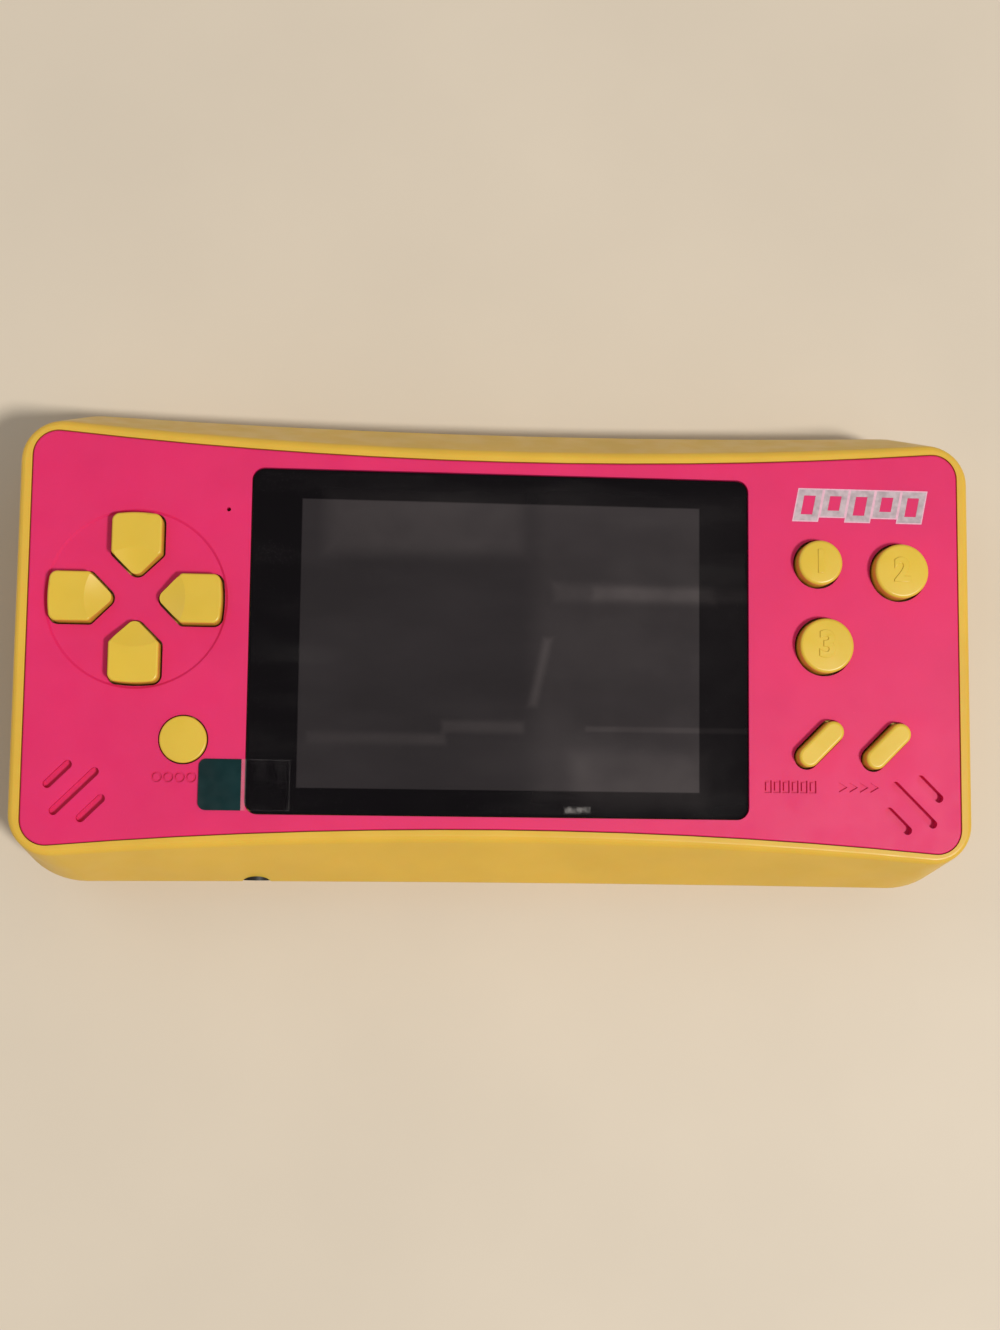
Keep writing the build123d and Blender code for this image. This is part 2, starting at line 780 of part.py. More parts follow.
# Back shell: tub with the battery bay, screw posts and the locating lip
with BuildPart() as back_shell:
    add(tub_outside)
    add(tub_inside, mode=Mode.SUBTRACT)
    with BuildSketch(Plane.XY.offset(lip_top)):
        add(front_outline(lip_top, wall + lip_clearance))
        add(front_outline(lip_top, wall + lip_clearance + lip_thickness), mode=Mode.SUBTRACT)
    extrude(amount=-2 * lip_height)
    with BuildSketch(Plane.XY.offset(back_depth)):
        add(base_outline(wall))
        add(front_outline(lip_top, wall + lip_clearance + lip_thickness), mode=Mode.SUBTRACT)
    extrude(amount=-lip_height)
    with BuildSketch(Plane.XY.offset(roof_top)):
        Rectangle(2 * (bay_half_length + bay_wall), 2 * (bay_half_width + bay_wall))
    extrude(amount=-roof_top)
    with BuildSketch(Plane.XY.offset(bay_top)):
        Rectangle(2 * bay_half_length, 2 * bay_half_width)
    extrude(amount=-(bay_top + overrun), mode=Mode.SUBTRACT)
    with BuildSketch():
        RectangleRounded(2 * door_recess_half_length, 2 * door_recess_half_width, door_corner_radius)
    extrude(amount=door_seat_z, mode=Mode.SUBTRACT)
    with BuildSketch(Plane.XY.offset(door_seat_z)):
        with Locations(*[(-door_half_length, y) for y in tab_rows]):
            Rectangle(
                2 * (door_tab_reach + door_tab_pocket_gap),
                door_tab_width + 2 * door_tab_pocket_gap,
            )
    extrude(amount=door_tab_height + door_tab_pocket_rise, mode=Mode.SUBTRACT)
    with BuildSketch(Plane.XY.offset(door_seat_z)):
        with Locations((door_half_length - door_latch_inset + door_latch_room, 0)):
            Rectangle(
                door_latch_thickness + 2 * door_latch_room,
                door_latch_width + 2 * door_tab_pocket_gap,
                align=(Align.MAX, Align.CENTER),
            )
    extrude(amount=door_latch_height + door_tab_pocket_gap, mode=Mode.SUBTRACT)
    with BuildSketch(Plane.XY.offset(back_depth - boss_split_gap)):
        with Locations(*case_screw_places):
            Circle(back_post_radius)
    extrude(amount=-(back_depth - boss_split_gap))
    with BuildSketch():
        with Locations(*case_screw_places):
            Circle(counterbore_radius)
    extrude(amount=case_screw_seat, mode=Mode.SUBTRACT)
    with BuildSketch():
        with Locations(*case_screw_places):
            Circle(screw_hole_radius)
    extrude(amount=back_depth, mode=Mode.SUBTRACT)
    with BuildSketch(Plane.XZ.offset(base_half_height + overrun)):
        with Locations((jack_x, back_depth)):
            Circle(jack_nose_radius + jack_opening_gap)
    extrude(amount=-(overrun + base_half_height - base_bottom_middle + bottom_mid_flare), mode=Mode.SUBTRACT)
    with BuildSketch(Plane.XY.offset(lip_top)):
        with Locations((switch_x, knob_tip_y)):
            Rectangle(switch_knob_width + switch_travel + 2 * switch_gap, 2 * (knob_tip_y - switch_front_y))
    extrude(amount=-(lip_top - slot_bottom), mode=Mode.SUBTRACT)
    with BuildSketch(Plane.XY.offset(lip_top)):
        with Locations((wheel_x, wheel_centre_y)):
            Circle(wheel_radius + wheel_gap)
    extrude(amount=-(lip_top - wheel_bottom + wheel_gap), mode=Mode.SUBTRACT)
    with BuildSketch():
        with Locations((door_half_length + finger_dip_radius / 2, 0)):
            Circle(finger_dip_radius / 2)
    extrude(amount=finger_dip_depth, mode=Mode.SUBTRACT)
save(back_shell.part, "back_shell")

# Battery door: plate with grip ribs, two tabs at its hinge end and a latch at the other
with BuildPart() as battery_door:
    with BuildSketch():
        RectangleRounded(2 * door_half_length, 2 * door_half_width, door_corner_radius)
    extrude(amount=door_thickness)
    with BuildSketch(Plane.XY.offset(door_thickness)):
        with Locations(*[(-door_half_length, y) for y in tab_rows]):
            Rectangle(door_tab_root, door_tab_width, align=(Align.MIN, Align.CENTER))
    extrude(amount=wall + door_gap - door_thickness + door_tab_height)
    with BuildSketch(Plane.XY.offset(wall + door_gap)):
        with Locations(*[(-door_half_length - door_tab_reach, y) for y in tab_rows]):
            Rectangle(door_tab_reach, door_tab_width, align=(Align.MIN, Align.CENTER))
    extrude(amount=door_tab_height)
    with BuildSketch(Plane.XY.offset(door_thickness)):
        with Locations((door_half_length - door_latch_inset, 0)):
            Rectangle(door_latch_thickness, door_latch_width, align=(Align.MAX, Align.CENTER))
    extrude(amount=door_latch_height)
    with BuildSketch():
        with Locations((door_half_length - door_rib_pitch * door_rib_count, 0)):
            with GridLocations(door_rib_pitch, 0, door_rib_count, 1):
                SlotOverall(door_rib_length, door_rib_width, rotation=90)
    extrude(amount=door_rib_depth, mode=Mode.SUBTRACT)
save(battery_door.part, "battery_door")

# Window and its protective film with the pull tab
with BuildPart() as screen_window:
    with BuildSketch(Plane.XY.offset(plate_bottom)):
        with Locations((window_x, 0)):
            RectangleRounded(2 * window_half_width, 2 * window_half_height, window_corner_radius)
    extrude(amount=window_thickness)
save(screen_window.part, "screen_window")

with BuildPart() as screen_film:
    with BuildSketch(Plane.XY.offset(window_top)):
        with Locations((window_x, 0)):
            RectangleRounded(
                2 * (window_half_width - film_inset),
                2 * (window_half_height - film_inset),
                window_corner_radius - film_inset,
            )
    extrude(amount=film_thickness)
save(screen_film.part, "screen_film")

film_top = window_top + film_thickness
tab_step = window_x - window_half_width - window_gap + film_bridge
with BuildPart() as film_pull_tab:
    with BuildSketch(Plane.XZ.offset(-tab_high)):
        with BuildLine():
            Polyline(
                (tab_left, case_depth + film_lift),
                (tab_step, case_depth + film_lift),
                (tab_step + film_dip, film_top),
                (tab_inner_end, film_top),
                (tab_inner_end, film_top + tab_thickness),
                (tab_step + film_dip, film_top + tab_thickness),
                (tab_step, case_depth + film_lift + tab_thickness),
                (tab_left, case_depth + film_lift + tab_thickness),
                close=True,
            )
        make_face()
    extrude(amount=tab_high - tab_low)
    fillet(
        film_pull_tab.edges().filter_by(Axis.Z).group_by(Axis.X)[0],
        radius=tab_corner_radius,
    )
save(film_pull_tab.part, "film_pull_tab")

# Display: gasket, glass, backlight, foam pad and ribbon
with BuildPart() as lcd_gasket:
    with BuildSketch(Plane.XY.offset(lcd_top)):
        with Locations((lcd_x, 0)):
            Rectangle(2 * lcd_half_width, 2 * lcd_half_height)
            Rectangle(
                2 * (lcd_half_width - gasket_width),
                2 * (lcd_half_height - gasket_width),
                mode=Mode.SUBTRACT,
            )
    extrude(amount=gasket_thickness)
save(lcd_gasket.part, "lcd_gasket")

with BuildPart() as lcd_glass:
    with BuildSketch(Plane.XY.offset(backlight_top)):
        with Locations((lcd_x, 0)):
            Rectangle(2 * lcd_half_width, 2 * lcd_half_height)
    extrude(amount=lcd_glass_thickness)
save(lcd_glass.part, "lcd_glass")

with BuildPart() as lcd_backlight:
    with BuildSketch(Plane.XY.offset(backlight_bottom)):
        with Locations((lcd_x, 0)):
            Rectangle(2 * backlight_half_width, 2 * backlight_half_height)
    extrude(amount=backlight_thickness)
    chamfer(lcd_backlight.faces().sort_by(Axis.Z)[0].edges(), length=backlight_growth)
save(lcd_backlight.part, "lcd_backlight")

with BuildPart() as lcd_foam_pad:
    with BuildSketch(Plane.XY.offset(board_top)):
        with Locations((lcd_x, 0)):
            Rectangle(2 * (lcd_half_width - foam_inset), 2 * (lcd_half_height - foam_inset))
    extrude(amount=foam_thickness)
save(lcd_foam_pad.part, "lcd_foam_pad")

connector_inner_x = lcd_x + backlight_half_width + connector_gap
connector_x = connector_inner_x + connector_width / 2
ribbon_low = board_top + connector_height / 2
ribbon_high = backlight_bottom + ribbon_rise + backlight_growth
ribbon_bend_x = (lcd_x + backlight_half_width + connector_inner_x) / 2
with BuildPart() as lcd_ribbon:
    with BuildSketch(Plane.XZ.offset(-ribbon_width / 2)):
        with BuildLine():
            FilletPolyline(
                (lcd_x + backlight_half_width, ribbon_high),
                (ribbon_bend_x, ribbon_high),
                (ribbon_bend_x, ribbon_low),
                (connector_inner_x, ribbon_low),
                radius=ribbon_bend_radius / 2,
            )
        trace(line_width=ribbon_thickness)
    extrude(amount=ribbon_width)
save(lcd_ribbon.part, "lcd_ribbon")

with BuildPart() as lcd_connector:
    with BuildSketch(Plane.XY.offset(board_top)):
        with Locations((connector_x, 0)):
            Rectangle(connector_width, connector_length)
    extrude(amount=connector_height)
    chamfer(lcd_connector.faces().sort_by(Axis.Z)[-1].edges().filter_by(Axis.Y), length=ribbon_thickness)
save(lcd_connector.part, "lcd_connector")

# Main board, cut clear of the screw bosses
board_half_width = free_x() - board_side_gap
board_half_height = edge_y(1, 0, board_top) - wall - inner_wall_gap
with BuildPart() as main_board:
    with BuildSketch(Plane.XY.offset(board_bottom)):
        RectangleRounded(2 * board_half_width, 2 * board_half_height, board_corner_radius)
        with Locations(*case_screw_places):
            Circle(boss_radius + board_boss_gap, mode=Mode.SUBTRACT)
        with Locations(*board_screw_places):
            Circle(screw_hole_radius, mode=Mode.SUBTRACT)
    extrude(amount=board_thickness)
save(main_board.part, "main_board")


def screws(places, seat, head_radius, head_height, shank_length):
    """Cross-slotted screws that point up, with their heads under a seat."""
    with BuildPart() as group:
        with BuildSketch(Plane.XY.offset(seat)):
            with Locations(*places):
                Circle(head_radius)
        extrude(amount=-head_height)
        with BuildSketch(Plane.XY.offset(seat)):
            with Locations(*places):
                Circle(screw_core_radius)
        extrude(amount=shank_length)
        with BuildSketch(Plane.XY.offset(seat - head_height)):
            with Locations(*places):
                Rectangle(driver_slot_length, driver_slot_width)
                Rectangle(driver_slot_width, driver_slot_length)
        extrude(amount=driver_slot_depth, mode=Mode.SUBTRACT)
    return group.part


save(
    screws(
        case_screw_places,
        case_screw_seat,
        case_screw_head_radius,
        case_screw_head_height,
        case_screw_length,
    ),
    "case_screws",
)
save(
    screws(
        board_screw_places,
        board_bottom,
        board_screw_head_radius,
        board_screw_head_height,
        board_thickness + board_screw_length,
    ),
    "board_screws",
)

# Direction keys: cap with a dished inner end, collar and foot
for key_name, key_angle in key_angles.items():
    with BuildPart() as direction_key:
        with BuildSketch(key_plane(key_angle, collar_top)):
            add(key_outline(0))
        extrude(amount=case_depth + key_height - collar_top)
        fillet(direction_key.faces().sort_by(Axis.Z)[-1].edges(), radius=key_edge_round)
        dish_top = case_depth + key_height
        with BuildSketch(Plane.XZ.offset(-dpad_y)):
            with BuildLine():
                dish_middle = (dpad_x, dish_top - key_dish_drop)
                dish_rim = (dpad_x + key_dish_radius, dish_top)
                TangentArc(dish_middle, dish_rim, tangent=(1, 0))
                Polyline(
                    dish_rim,
                    (dpad_x + key_dish_radius, dish_top + overrun),
                    (dpad_x, dish_top + overrun),
                    dish_middle,
                )
            make_face()
        revolve(axis=Axis((dpad_x, dpad_y, 0), (0, 0, 1)), mode=Mode.SUBTRACT)
        with BuildSketch(key_plane(key_angle, collar_bottom)):
            add(key_outline(collar_width))
        extrude(amount=collar_height)
        with BuildSketch(key_plane(key_angle, foot_bottom)):
            with Locations((key_mid, 0)):
                Circle(foot_radius)
        extrude(amount=foot_height)
    save(direction_key.part, key_name)


def round_key(place, radius, height, crown, edge_round):
    """Round key: domed cap, collar under the deck and a foot on its rubber dome."""
    rim_height = case_depth + height - crown
    with BuildPart() as key:
        with BuildSketch(upright_plane(place)) as profile:
            with BuildLine():
                Polyline(
                    (0, case_depth + height),
                    (0, foot_bottom),
                    (foot_radius, foot_bottom),
                    (foot_radius, collar_bottom),
                    (radius + collar_width, collar_bottom),
                    (radius + collar_width, collar_top),
                    (radius, collar_top),
                    (radius, rim_height),
                )
                TangentArc((0, case_depth + height), (radius, rim_height), tangent=(1, 0))
            make_face()
            fillet(profile.vertices().sort_by(Axis.Y)[-2], radius=edge_round)
        revolve(axis=Axis((place[0], place[1], 0), (0, 0, 1)))
    return key.part


save(round_key(turbo_place, turbo_radius, action_height, action_crown, cap_edge_round), "turbo_button")
save(round_key(a_place, action_radius, action_height, action_crown, cap_edge_round), "a_button")
save(round_key(b_place, action_radius, action_height, action_crown, cap_edge_round), "b_button")
save(round_key(reset_place, reset_radius, reset_height, reset_crown, reset_edge_round), "reset_button")


def pill_key(place):
    """Tilted pill key with a collar under the deck and a foot on its rubber dome."""
    with BuildPart() as key:
        with BuildSketch(Plane.XY.offset(collar_bottom)):
            add(pill_outline(place, 0))
        extrude(amount=case_depth + pill_height - collar_bottom)
        fillet(key.faces().sort_by(Axis.Z)[-1].edges(), radius=cap_edge_round)
        with BuildSketch(Plane.XY.offset(collar_bottom)):
            add(pill_outline(place, collar_width))
        extrude(amount=collar_height)
        with BuildSketch(Plane.XY.offset(foot_bottom)):
            with Locations(place):
                Circle(foot_radius)
        extrude(amount=foot_height)
    return key.part


save(pill_key(select_place), "select_button")
save(pill_key(start_place), "start_button")


def key_mat(places, reach):
    """Rubber mat on the board with a hollow dome under each key."""
    dome_height = foot_bottom - mat_top - dome_stub_height
    with BuildPart() as mat:
        with BuildSketch(Plane.XY.offset(board_top)):
            with Locations(*places):
                Circle(reach)
            make_hull()
        extrude(amount=mat_thickness)
        with Locations(*[(x, y, mat_top) for x, y in places]):
            Cone(
                dome_base_radius,
                dome_top_radius,
                dome_height,
                align=(Align.CENTER, Align.CENTER, Align.MIN),
            )
        with Locations(*[(x, y, mat_top + dome_height) for x, y in places]):
            Cylinder(dome_top_radius, dome_stub_height, align=(Align.CENTER, Align.CENTER, Align.MIN))
        with Locations(*[(x, y, board_top) for x, y in places]):
            Cone(
                dome_base_radius - dome_skin,
                dome_top_radius - dome_skin,
                mat_thickness + dome_height - dome_skin,
                align=(Align.CENTER, Align.CENTER, Align.MIN),
                mode=Mode.SUBTRACT,
            )
    return mat.part


key_middles = [
    (dpad_x + key_mid * cos(radians(angle)), dpad_y + key_mid * sin(radians(angle)))
    for angle in key_angles.values()
]
save(key_mat(key_middles, key_mat_reach), "dpad_membrane")
save(key_mat([turbo_place, a_place, b_place], action_mat_reach), "action_membrane")
save(key_mat([select_place, start_place], pill_mat_reach), "menu_membrane")
save(key_mat([reset_place], reset_mat_reach), "reset_membrane")

# Speaker: basket with a floor, cone with a dust cap, and magnet
speaker_top = deck_bottom
speaker_bottom = speaker_top - speaker_frame_height
with BuildPart() as speaker_frame:
    with BuildSketch(Plane.XY.offset(speaker_bottom)):
        with Locations(speaker_place):
            Circle(speaker_radius)
    extrude(amount=speaker_frame_height)
    with BuildSketch(Plane.XY.offset(speaker_bottom + speaker_floor)):
        with Locations(speaker_place):
            Circle(speaker_radius - speaker_rim)
    extrude(amount=speaker_frame_height, mode=Mode.SUBTRACT)
save(speaker_frame.part, "speaker_frame")

cone_top = speaker_top - speaker_cone_gap
cone_low = speaker_bottom + speaker_floor + 2 * speaker_skin
cap_top = cone_low + speaker_cap_height
with BuildPart() as speaker_cone:
    with BuildSketch(upright_plane(speaker_place)):
        with BuildLine():
            Polyline(
                (0, cone_low),
                (speaker_cap_radius, cone_low - speaker_skin),
                (speaker_radius - speaker_rim, cone_top - speaker_skin),
                (speaker_radius - speaker_rim, cone_top),
                (speaker_cap_radius, cone_low),
            )
            TangentArc((0, cap_top), (speaker_cap_radius, cone_low), tangent=(1, 0))
            Line((0, cap_top), (0, cone_low))
        make_face()
    revolve(axis=Axis((speaker_x, speaker_y, 0), (0, 0, 1)))
save(speaker_cone.part, "speaker_cone")

with BuildPart() as speaker_magnet:
    with BuildSketch(Plane.XY.offset(speaker_bottom)):
        with Locations(speaker_place):
            Circle(speaker_magnet_radius)
    extrude(amount=-speaker_magnet_height)
    chamfer(speaker_magnet.faces().sort_by(Axis.Z)[0].edges(), length=speaker_skin)
save(speaker_magnet.part, "speaker_magnet")

# Socket: body under the board with a round nose in the wall, and its solder legs
jack_front_y = -(free_y(-1, jack_x) - inner_wall_gap)
jack_nose_y = -(jack_wall_y - jack_nose_recess)
with BuildPart() as av_jack:
    with BuildSketch(Plane.XZ.offset(-jack_front_y)):
        with Locations((jack_x, back_depth)):
            Rectangle(jack_body_width, 2 * jack_half_height)
    extrude(amount=-jack_body_length)
    with BuildSketch(Plane.XZ.offset(-jack_nose_y)):
        with Locations((jack_x, back_depth)):
            Circle(jack_nose_radius)
    extrude(amount=jack_nose_y - jack_front_y)
    with BuildSketch(Plane.XZ.offset(-jack_nose_y)):
        with Locations((jack_x, back_depth)):
            Circle(jack_bore_radius)
    extrude(amount=-jack_bore_length, mode=Mode.SUBTRACT)
save(av_jack.part, "av_jack")

# Solder legs that stand off the sides of the socket up to the board
with BuildPart() as av_jack_legs:
    with BuildSketch(Plane.XY.offset(board_bottom)):
        with Locations((jack_x, jack_front_y + jack_body_length / 2)):
            with GridLocations(jack_body_width + jack_leg_thickness, jack_leg_pitch, 2, 3):
                Rectangle(jack_leg_thickness, jack_leg_width)
    extrude(amount=-jack_leg_length)
save(av_jack_legs.part, "av_jack_legs")

# Power switch: can under the board with a slot in its front, and the sliding knob
switch_bottom = switch_knob_z - switch_knob_height / 2 - switch_floor
pocket_width = switch_knob_width + switch_travel + 2 * switch_gap
knob_rest_x = switch_x - switch_travel / 2
with BuildPart() as power_switch_body:
    with BuildSketch(Plane.XZ.offset(-switch_front_y)):
        with Locations((switch_x, switch_bottom)):
            Rectangle(
                switch_body_width, board_bottom - switch_bottom, align=(Align.CENTER, Align.MIN)
            )
    extrude(amount=switch_body_length)
    with BuildSketch(Plane.XZ.offset(-switch_front_y)):
        with Locations((switch_x, switch_knob_z)):
            Rectangle(pocket_width, switch_knob_height + 2 * switch_gap)
    extrude(amount=switch_pocket_depth, mode=Mode.SUBTRACT)
save(power_switch_body.part, "power_switch_body")

with BuildPart() as power_switch_knob:
    with BuildSketch(Plane.XZ.offset(-knob_tip_y)):
        with Locations((knob_rest_x, switch_knob_z)):
            Rectangle(switch_knob_width, switch_knob_height)
    extrude(amount=knob_tip_y - switch_front_y + switch_pocket_depth - switch_gap)
    with BuildSketch(Plane.XZ.offset(-knob_tip_y)):
        with Locations((knob_rest_x, switch_knob_z)):
            with GridLocations(switch_knob_width / grip_count, 0, grip_count, 1):
                Rectangle(grip_width, 2 * switch_knob_height)
    extrude(amount=grip_depth, mode=Mode.SUBTRACT)
save(power_switch_knob.part, "power_switch_knob")

# Volume control: can under the board with a shaft, and the notched wheel
wheel_place = (wheel_x, wheel_centre_y)
with BuildPart() as volume_control:
    with BuildSketch(Plane.XY.offset(board_bottom)):
        with Locations(wheel_place):
            Circle(pot_body_radius)
    extrude(amount=-(board_bottom - wheel_top - wheel_face_gap))
    with BuildSketch(Plane.XY.offset(wheel_top + wheel_face_gap)):
        with Locations(wheel_place):
            Circle(wheel_shaft_radius)
    extrude(amount=-(wheel_thickness + 2 * wheel_face_gap))
    with BuildSketch(Plane.XY.offset(wheel_bottom - wheel_face_gap)):
        with Locations(wheel_place):
            Circle(pot_cap_radius)
    extrude(amount=-pot_cap_height)
save(volume_control.part, "volume_control")

with BuildPart() as volume_wheel:
    with BuildSketch(Plane.XY.offset(wheel_bottom)):
        with Locations(wheel_place):
            Circle(wheel_radius)
            with PolarLocations(wheel_radius, wheel_notch_count):
                Rectangle(2 * wheel_notch_depth, wheel_notch_width, mode=Mode.SUBTRACT)
            Circle(wheel_shaft_radius + wheel_shaft_gap, mode=Mode.SUBTRACT)
    extrude(amount=wheel_thickness)
save(volume_wheel.part, "volume_wheel")

# Battery cells, in turn with their nub to the right and to the left
cell_signs = [1 if row % 2 == 0 else -1 for row in range(cell_count)]
with BuildPart() as battery_cells:
    for cell_y, sign in zip(cell_rows, cell_signs):
        nub_end = sign * (bay_half_length - contact_thickness)
        shoulder = nub_end - sign * cell_nub_height
        flat_end = nub_end - sign * cell_length
        cell_plane = Plane(origin=(0, cell_y, cell_axis_z), x_dir=(1, 0, 0), z_dir=(0, -1, 0))
        with BuildSketch(cell_plane):
            with BuildLine():
                Polyline(
                    (flat_end, 0),
                    (flat_end, cell_radius - cell_end_round),
                    (flat_end + sign * cell_end_round, cell_radius),
                    (shoulder - sign * cell_end_round, cell_radius),
                    (shoulder, cell_radius - cell_end_round),
                    (shoulder, cell_nub_radius),
                    (nub_end, cell_nub_radius),
                    (nub_end, 0),
                    close=True,
                )
            make_face()
        revolve(axis=Axis((0, cell_y, cell_axis_z), (1, 0, 0)))
save(battery_cells.part, "battery_cells")

# Contact plates at both ends of the bay
contact_middle = cell_axis_z + (contact_high - contact_low) / 2
with BuildPart() as battery_contacts:
    for end in (-1, 1):
        with BuildSketch(Plane.YZ.offset(end * (bay_half_length - contact_thickness / 2))):
            with Locations(*[(y, contact_middle) for y in cell_rows]):
                Rectangle(contact_width, contact_low + contact_high)
        extrude(amount=contact_thickness / 2, both=True)
save(battery_contacts.part, "battery_contacts")

# Coil springs that press on the flat end of each cell
spring_span = spring_length - 2 * spring_wire_radius
with BuildPart() as battery_springs:
    for cell_y, sign in zip(cell_rows, cell_signs):
        root_x = -sign * (bay_half_length - contact_thickness - spring_wire_radius)
        with BuildLine() as coil:
            Helix(
                spring_span / spring_turns,
                spring_span,
                spring_radius,
                center=(root_x, cell_y, cell_axis_z),
                direction=(sign, 0, 0),
            )
        with BuildSketch(Plane(origin=coil.line @ 0, z_dir=coil.line % 0)):
            Circle(spring_wire_radius)
        sweep(path=coil.line, is_frenet=True)
save(battery_springs.part, "battery_springs")

# Indicator lamp behind the pinhole
with BuildPart() as power_led:
    with BuildSketch(Plane.XY.offset(board_top)):
        with Locations(pinhole_place):
            Circle(led_base_radius)
    extrude(amount=led_base_height)
    with BuildSketch(Plane.XY.offset(board_top + led_base_height)):
        with Locations(pinhole_place):
            Circle(led_radius)
    extrude(amount=led_height - led_base_height)
    fillet(power_led.faces().sort_by(Axis.Z)[-1].edges(), radius=led_radius - pinhole_radius)
save(power_led.part, "power_led")


def legged_chip(place, length, width):
    """Flat chip under the board with a row of legs on two sides."""
    with BuildPart() as chip:
        with BuildSketch(Plane.XY.offset(board_bottom - leg_thickness)):
            with Locations(place):
                Rectangle(length, width)
        extrude(amount=-chip_height)
        with BuildSketch(Plane.XY.offset(board_bottom)):
            with Locations(place):
                with GridLocations(leg_pitch, 0, leg_count, 1):
                    Rectangle(leg_width, width + 2 * leg_reach)
        extrude(amount=-leg_thickness)
    return chip.part


save(legged_chip(processor_place, processor_side, processor_side), "processor_chip")
save(legged_chip(memory_place, memory_length, memory_width), "memory_chip")

with BuildPart() as crystal:
    with BuildSketch(Plane.XY.offset(board_bottom)):
        with Locations(crystal_place):
            SlotOverall(crystal_length, crystal_width, rotation=90)
    extrude(amount=-crystal_height)
save(crystal.part, "crystal")

with BuildPart() as capacitors:
    with BuildSketch(Plane.XY.offset(board_bottom)):
        with Locations(*can_places):
            Rectangle(2 * can_radius, 2 * can_radius)
    extrude(amount=-can_base_height)
    with BuildSketch(Plane.XY.offset(board_bottom - can_base_height)):
        with Locations(*can_places):
            Circle(can_radius)
    extrude(amount=-(can_height - can_base_height))
save(capacitors.part, "capacitors")

with BuildPart() as resistors:
    with BuildSketch(Plane.XY.offset(board_bottom)):
        with Locations(chip_resistor_place):
            with GridLocations(0, chip_resistor_pitch, 1, chip_resistor_count):
                Rectangle(chip_resistor_length, chip_resistor_width)
    extrude(amount=-chip_resistor_height)
save(resistors.part, "resistors")
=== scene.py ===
import json
import math

import bmesh
import bpy
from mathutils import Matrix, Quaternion, Vector, noise


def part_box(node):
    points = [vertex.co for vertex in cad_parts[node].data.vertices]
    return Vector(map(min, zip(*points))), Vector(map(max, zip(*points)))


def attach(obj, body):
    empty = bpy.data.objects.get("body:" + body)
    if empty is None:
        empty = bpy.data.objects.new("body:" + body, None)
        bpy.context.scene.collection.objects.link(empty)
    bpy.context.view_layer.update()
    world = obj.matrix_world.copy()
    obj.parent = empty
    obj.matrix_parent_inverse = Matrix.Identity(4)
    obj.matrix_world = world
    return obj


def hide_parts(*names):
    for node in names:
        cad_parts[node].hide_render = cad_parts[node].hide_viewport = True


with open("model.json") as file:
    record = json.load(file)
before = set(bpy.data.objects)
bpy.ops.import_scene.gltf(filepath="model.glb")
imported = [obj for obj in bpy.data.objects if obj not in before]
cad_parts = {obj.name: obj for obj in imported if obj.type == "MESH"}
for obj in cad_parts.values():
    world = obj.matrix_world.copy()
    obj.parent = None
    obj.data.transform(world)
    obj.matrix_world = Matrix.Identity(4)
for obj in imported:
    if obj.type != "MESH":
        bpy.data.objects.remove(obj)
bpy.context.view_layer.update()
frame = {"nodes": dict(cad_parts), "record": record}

MM = 0.001
nodes = frame["nodes"]

# Camera at the photograph's angle: place in millimetres, turn as a rotation vector in radians
camera_place = (-20.4, -28.9, 280.9)
camera_turn = (0.09836, -0.07814, 0.01499)
image_width = 1000
image_height = 1330
focal_pixels = 1700
sensor_size = 36.0
clip_near = 0.01
clip_far = 20.0


def make_camera():
    """Camera with the photograph's place, angle and field of view."""
    data = bpy.data.cameras.new("camera")
    data.sensor_width = sensor_size
    data.lens = focal_pixels * sensor_size / max(image_width, image_height)
    data.clip_start = clip_near
    data.clip_end = clip_far
    camera = bpy.data.objects.new("camera", data)
    turn = Vector(camera_turn)
    camera.rotation_mode = "QUATERNION"
    camera.rotation_quaternion = Quaternion(turn.normalized(), turn.length)
    camera.location = Vector(camera_place) * MM
    bpy.context.scene.collection.objects.link(camera)
    bpy.context.scene.camera = camera


def srgb(red, green, blue):
    """Linear colour of an eight-bit display colour."""
    parts = []
    for level in (red, green, blue):
        share = level / 255
        parts.append(share / 12.92 if share <= 0.04045 else ((share + 0.055) / 1.055) ** 2.4)
    return (*parts, 1.0)


